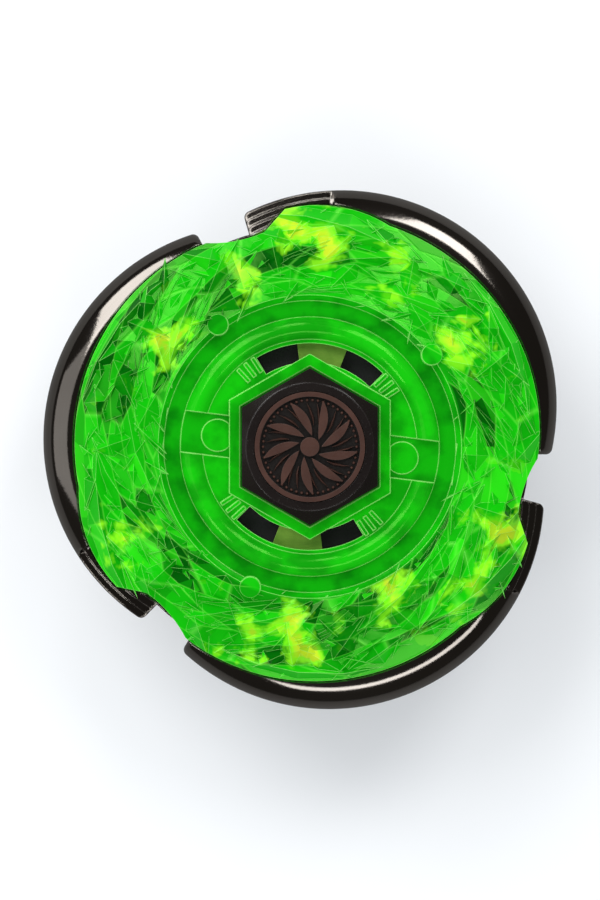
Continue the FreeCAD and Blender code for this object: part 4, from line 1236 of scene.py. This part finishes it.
# %% Plateau and three-sided ridges
PLATEAU_INNER, PLATEAU_OUTER = 14.5, 21.7
PLATEAU_HIGH, PLATEAU_LOW = ring_bottom + 3.7, ring_bottom + 2.1


def plateau_height(radius):
    """Height of the slope between the crystals, which goes on a little past the plateau."""
    share = (radius - PLATEAU_INNER) / (PLATEAU_OUTER - PLATEAU_INNER)
    return PLATEAU_HIGH + (PLATEAU_LOW - PLATEAU_HIGH) * limit(share, 0.0, 1.15)


def add_ridge(stations, points, faces):
    """Adds a ridge; each station gives its middle, its half width as a vector, foot and top."""
    first = len(points)
    for middle, side, foot, top in stations:
        for spot, z in ((middle + side, foot), (middle, top), (middle - side, foot)):
            points.append((spot.x, spot.y, z))
    starts = list(range(first, len(points), 3))
    last = starts[-1]
    faces += join_rows(starts, 3) + [(first, first + 1, first + 2), (last, last + 2, last + 1)]


print("plateau falls from %.1f to %.1f mm" % (PLATEAU_HIGH, PLATEAU_LOW))

# %% [markdown]
# A rib's middle runs along a spiral, and its width and height swell from almost nothing at one end
# to the full measure and back. Each bundle is a few ribs a small turn apart.

# %% Swept ribs
RIB_WIDTH, RIB_HEIGHT, RIB_SINK = 0.30, 0.26, 0.25
RIB_STEPS, RIB_BEND, RIB_TIP = 14, 1.3, 0.02    # the tip keeps an end from closing to a point
RIB_BUNDLES = (               # radii and turns at start and end, number of ribs, pitch in degrees
    ((14.7, 17.2), (98.0, 52.0), 4, 3.4),
    ((14.8, 19.4), (62.0, 34.0), 3, 4.2),
    ((17.4, 21.4), (44.0, 10.0), 3, 3.6),
    ((18.0, 21.6), (104.0, 74.0), 3, 3.2),
    ((15.0, 18.6), (26.0, 0.0), 4, 3.8),
)


def add_rib(radii, turns, points, faces):
    """Adds one ridge along a spiral from the first radius and turn to the second."""
    shares = [i / RIB_STEPS for i in range(RIB_STEPS + 1)]
    reaches = [radii[0] + (radii[1] - radii[0]) * share ** RIB_BEND for share in shares]
    spots = [flat_point(turns[0] + (turns[1] - turns[0]) * share, reach)
             for share, reach in zip(shares, reaches)]
    stations = []
    for i, (spot, reach) in enumerate(zip(spots, reaches)):
        ahead = spots[min(i + 1, RIB_STEPS)] - spots[max(i - 1, 0)]
        swell = math.sqrt(math.sin(math.pi * (i + RIB_TIP) / (RIB_STEPS + 2 * RIB_TIP)))
        side = Vector((-ahead.y, ahead.x)).normalized() * RIB_WIDTH / 2 * swell
        ground = plateau_height(reach)
        stations.append((spot, side, ground - RIB_SINK, ground + RIB_HEIGHT * swell))
    add_ridge(stations, points, faces)


def build_ribs():
    points, faces = [], []
    for radii, turns, lines, pitch in RIB_BUNDLES:
        for line in range(lines):
            shift = NOTCH + line * pitch
            add_rib(radii, (turns[0] + shift, turns[1] + shift), points, faces)
    return turn_copies("ring_ribs", (points, faces), "clear_green", 3, sharp=15.0)


ribs = build_ribs()
print("ribs with", len(ribs.data.polygons), "faces")

# %% [markdown]
# ## Splinters between the crystals
# Small four-sided splinters fill the plateau between the big crystals. They are scattered over a
# thin sheet that has the plateau's slope and stops short of its edge. Each one lies roughly along
# the ring, with a random swing and size from a fixed seed, so every run gives the same ring.

# %% Tree that scatters splinters
SMALLEST, LARGEST = (0.55, 0.6, 0.5), (1.45, 1.3, 1.25)    # length, width and height, as shares


def build_scatter():
    tree, given, result = new_tree("scatter_splinters", {
        "Spacing": "NodeSocketFloat", "Density": "NodeSocketFloat", "Swing": "NodeSocketFloat",
        "Size": "NodeSocketVector", "Seed": "NodeSocketInt", "Finish": "NodeSocketMaterial"})
    spots = add_node(tree, "GeometryNodeDistributePointsOnFaces", {
        "Mesh": given["Piece"], "Distance Min": given["Spacing"], "Density Max": given["Density"],
        "Seed": given["Seed"]}, distribute_method="POISSON")
    cone = add_node(tree, "GeometryNodeMeshCone", {
        "Vertices": 4, "Radius Top": 0.0, "Radius Bottom": 0.5, "Depth": 1.0})
    splinter = add_node(tree, "GeometryNodeTransform", {
        "Geometry": cone.outputs["Mesh"], "Scale": given["Size"]})
    place = add_node(tree, "GeometryNodeInputPosition").outputs["Position"]
    split = add_node(tree, "ShaderNodeSeparateXYZ", {"Vector": place})
    around = maths(tree, "ARCTAN2", split.outputs["Y"], split.outputs["X"])
    swing = add_node(tree, "FunctionNodeRandomValue", {
        "Min": multiply(tree, given["Swing"], -1.0), "Max": given["Swing"],
        "Seed": given["Seed"]}, data_type="FLOAT")
    heading = maths(tree, "ADD", around, maths(tree, "ADD", swing.outputs[1], math.pi / 2))
    turn = add_node(tree, "FunctionNodeAxisAngleToRotation", {
        "Axis": (0.0, 0.0, 1.0), "Angle": heading})
    size = add_node(tree, "FunctionNodeRandomValue", {
        0: SMALLEST, 1: LARGEST, "Seed": given["Seed"]}, data_type="FLOAT_VECTOR")
    copies = add_node(tree, "GeometryNodeInstanceOnPoints", {
        "Points": spots.outputs["Points"], "Instance": splinter.outputs["Geometry"],
        "Rotation": turn.outputs["Rotation"], "Scale": size.outputs[0]})
    end_tree(tree, copies.outputs["Instances"], given["Finish"], result)
    return tree


scatter_tree = build_scatter()
print("tree", scatter_tree.name)

# %% [markdown]
# The sheet that carries the splinters is drawn in columns round the axis and rows from the groove
# to just inside the ring's edge. It lies a little under the plateau, so that the splinters' bases
# are buried in the solid ring.

# %% Splinters
SHEET_COLUMNS, SHEET_ROWS = 180, 6
SHEET_INSET, SHEET_EDGE, SHEET_SINK = 0.5, 1.1, 0.12    # from the groove, the edge and the plateau
SPLINTER_DENSITY = 3.0e6      # tries per square metre, before the spacing thins them out


def plateau_sheet():
    points = []
    inner = PLATEAU_INNER + SHEET_INSET
    for c in range(SHEET_COLUMNS):
        turn = 360.0 * c / SHEET_COLUMNS
        outer = outline_radius(turn - NOTCH, -SHEET_EDGE)
        for i in range(SHEET_ROWS + 1):
            radius = inner + (outer - inner) * i / SHEET_ROWS
            points.append((*flat_point(turn, radius), plateau_height(radius) - SHEET_SINK))
    size = SHEET_ROWS + 1
    starts = [c * size for c in range(SHEET_COLUMNS)] + [0]
    return points, join_rows(starts, size, closed=False)


def build_splinters(name, spacing, size, swing, seed):
    values = {"Spacing": spacing * MM, "Density": SPLINTER_DENSITY, "Swing": math.radians(swing),
              "Size": [c * MM for c in size], "Seed": seed}
    return run_tree(scatter_tree, name, *plateau_sheet(), "clear_green", values, sharp=12.0)


splinters = [
    build_splinters("ring_splinters", spacing=1.7, size=(3.3, 1.15, 0.95), swing=55.0, seed=7),
    build_splinters("ring_needles", spacing=3.2, size=(3.6, 0.40, 0.70), swing=70.0, seed=23)]
print("splinters with", [len(s.data.polygons) for s in splinters], "faces")

# %% [markdown]
# ## Badge details
# Between the badge's broad vanes lie finer rays, and a row of small beads runs inside its rim.
# A ray is a thin raised sliver and a bead is a low dome; both are drawn once and turned about the
# axis by the same tree as the ribs.

# %% Rays and beads on the badge
RELIEF_BASE = badge_top - 0.47
SLIVER_SHAPE = (              # (place along it, half width), as shares of its length and width
    (0.0, 0.08), (0.4, 0.5), (0.75, 0.32), (1.0, 0.03))


def dome(centre_radius, size, height, rings=4, corners=12):
    """Low dome standing at a radius on the +X axis, closed underneath."""
    points = []
    for r in range(rings):
        lean = math.radians(90.0 * r / rings)
        for c in range(corners):
            turn = 2 * math.pi * c / corners
            points.append((centre_radius + size * math.cos(lean) * math.cos(turn),
                           size * math.cos(lean) * math.sin(turn),
                           RELIEF_BASE + height * math.sin(lean)))
    top = len(points)
    points.append((centre_radius, 0.0, RELIEF_BASE + height))
    last = top - corners
    faces = join_rows(range(0, top, corners), corners)
    faces += [(last + c, last + (c + 1) % corners, top) for c in range(corners)]
    faces.append(tuple(range(corners - 1, -1, -1)))
    return points, faces


def sliver(start, end, width, height, lean):
    """Pointed raised sliver from one radius to another, leaning by an angle at its end."""
    points, faces = [], []
    stations = [(flat_point(lean * along, start + (end - start) * along),
                 Vector((0.0, half * width)), RELIEF_BASE, RELIEF_BASE + height)
                for along, half in SLIVER_SHAPE]
    add_ridge(stations, points, faces)
    return points, faces


bead = dome(centre_radius=4.45, size=0.16, height=0.34)
ray = sliver(start=2.1, end=4.2, width=0.42, height=0.40, lean=14.0)
badge_details = [turn_copies("badge_beads", bead, "brown_plastic", 54, sharp=40.0),
                 turn_copies("badge_rays", ray, "brown_plastic", 27, sharp=15.0)]
print("badge details:", [len(piece.data.polygons) for piece in badge_details], "faces")

# %% [markdown]
# ## Coil in the spin switch
# When the top spins, a brass slug is thrown outwards and presses this coil together until it meets
# the pin. The wire follows a helix, so a tree sweeps a small circle along a spiral curve and lays
# the result along the switch. The slug moves along X; its travel is read from the record, and the
# coil keeps its full length.

# %% Swept coil along the switch
COIL_RADIUS, COIL_WIRE, COIL_TURNS = 0.72, 0.1, 4.0    # radii of the coil and of its wire


def build_coil_tree():
    tree, given, result = new_tree("wound_coil", {
        "Turns": "NodeSocketFloat", "Radius": "NodeSocketFloat", "Wire": "NodeSocketFloat",
        "Length": "NodeSocketFloat", "Start": "NodeSocketVector", "Finish": "NodeSocketMaterial"})
    path = add_node(tree, "GeometryNodeCurveSpiral", {
        "Resolution": 28, "Rotations": given["Turns"], "Start Radius": given["Radius"],
        "End Radius": given["Radius"], "Height": given["Length"]})
    section = add_node(tree, "GeometryNodeCurvePrimitiveCircle", {
        "Resolution": 10, "Radius": given["Wire"]})
    wire = add_node(tree, "GeometryNodeCurveToMesh", {
        "Curve": path.outputs["Curve"], "Profile Curve": section.outputs["Curve"],
        "Fill Caps": True})
    laid = add_node(tree, "GeometryNodeTransform", {
        "Geometry": wire.outputs["Mesh"], "Translation": given["Start"],
        "Rotation": (0.0, math.pi / 2, 0.0)})
    end_tree(tree, laid.outputs["Geometry"], given["Finish"], result)
    return tree


def build_switch_coil():
    low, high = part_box("switch_spring")
    start = Vector((low.x + COIL_WIRE * MM, 0.0, (low.z + high.z) / 2))
    coil = run_tree(build_coil_tree(), "switch_coil", [(0, 0, 0)], [], slot_of["switch_spring"], {
        "Turns": COIL_TURNS, "Radius": COIL_RADIUS * MM, "Wire": COIL_WIRE * MM,
        "Length": high.x - low.x - 2 * COIL_WIRE * MM, "Start": start}, sharp=60.0)
    travel = next(joint["range_m"][1] for joint in frame["record"]["behaviour"]["joints"]
                  if joint["name"] == "switch_slide")
    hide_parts("switch_spring")
    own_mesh(coil)
    return coil, travel


coil, travel = build_switch_coil()
print("coil with", len(coil.data.polygons), "faces, shortens by %.1f mm" % (travel / MM))
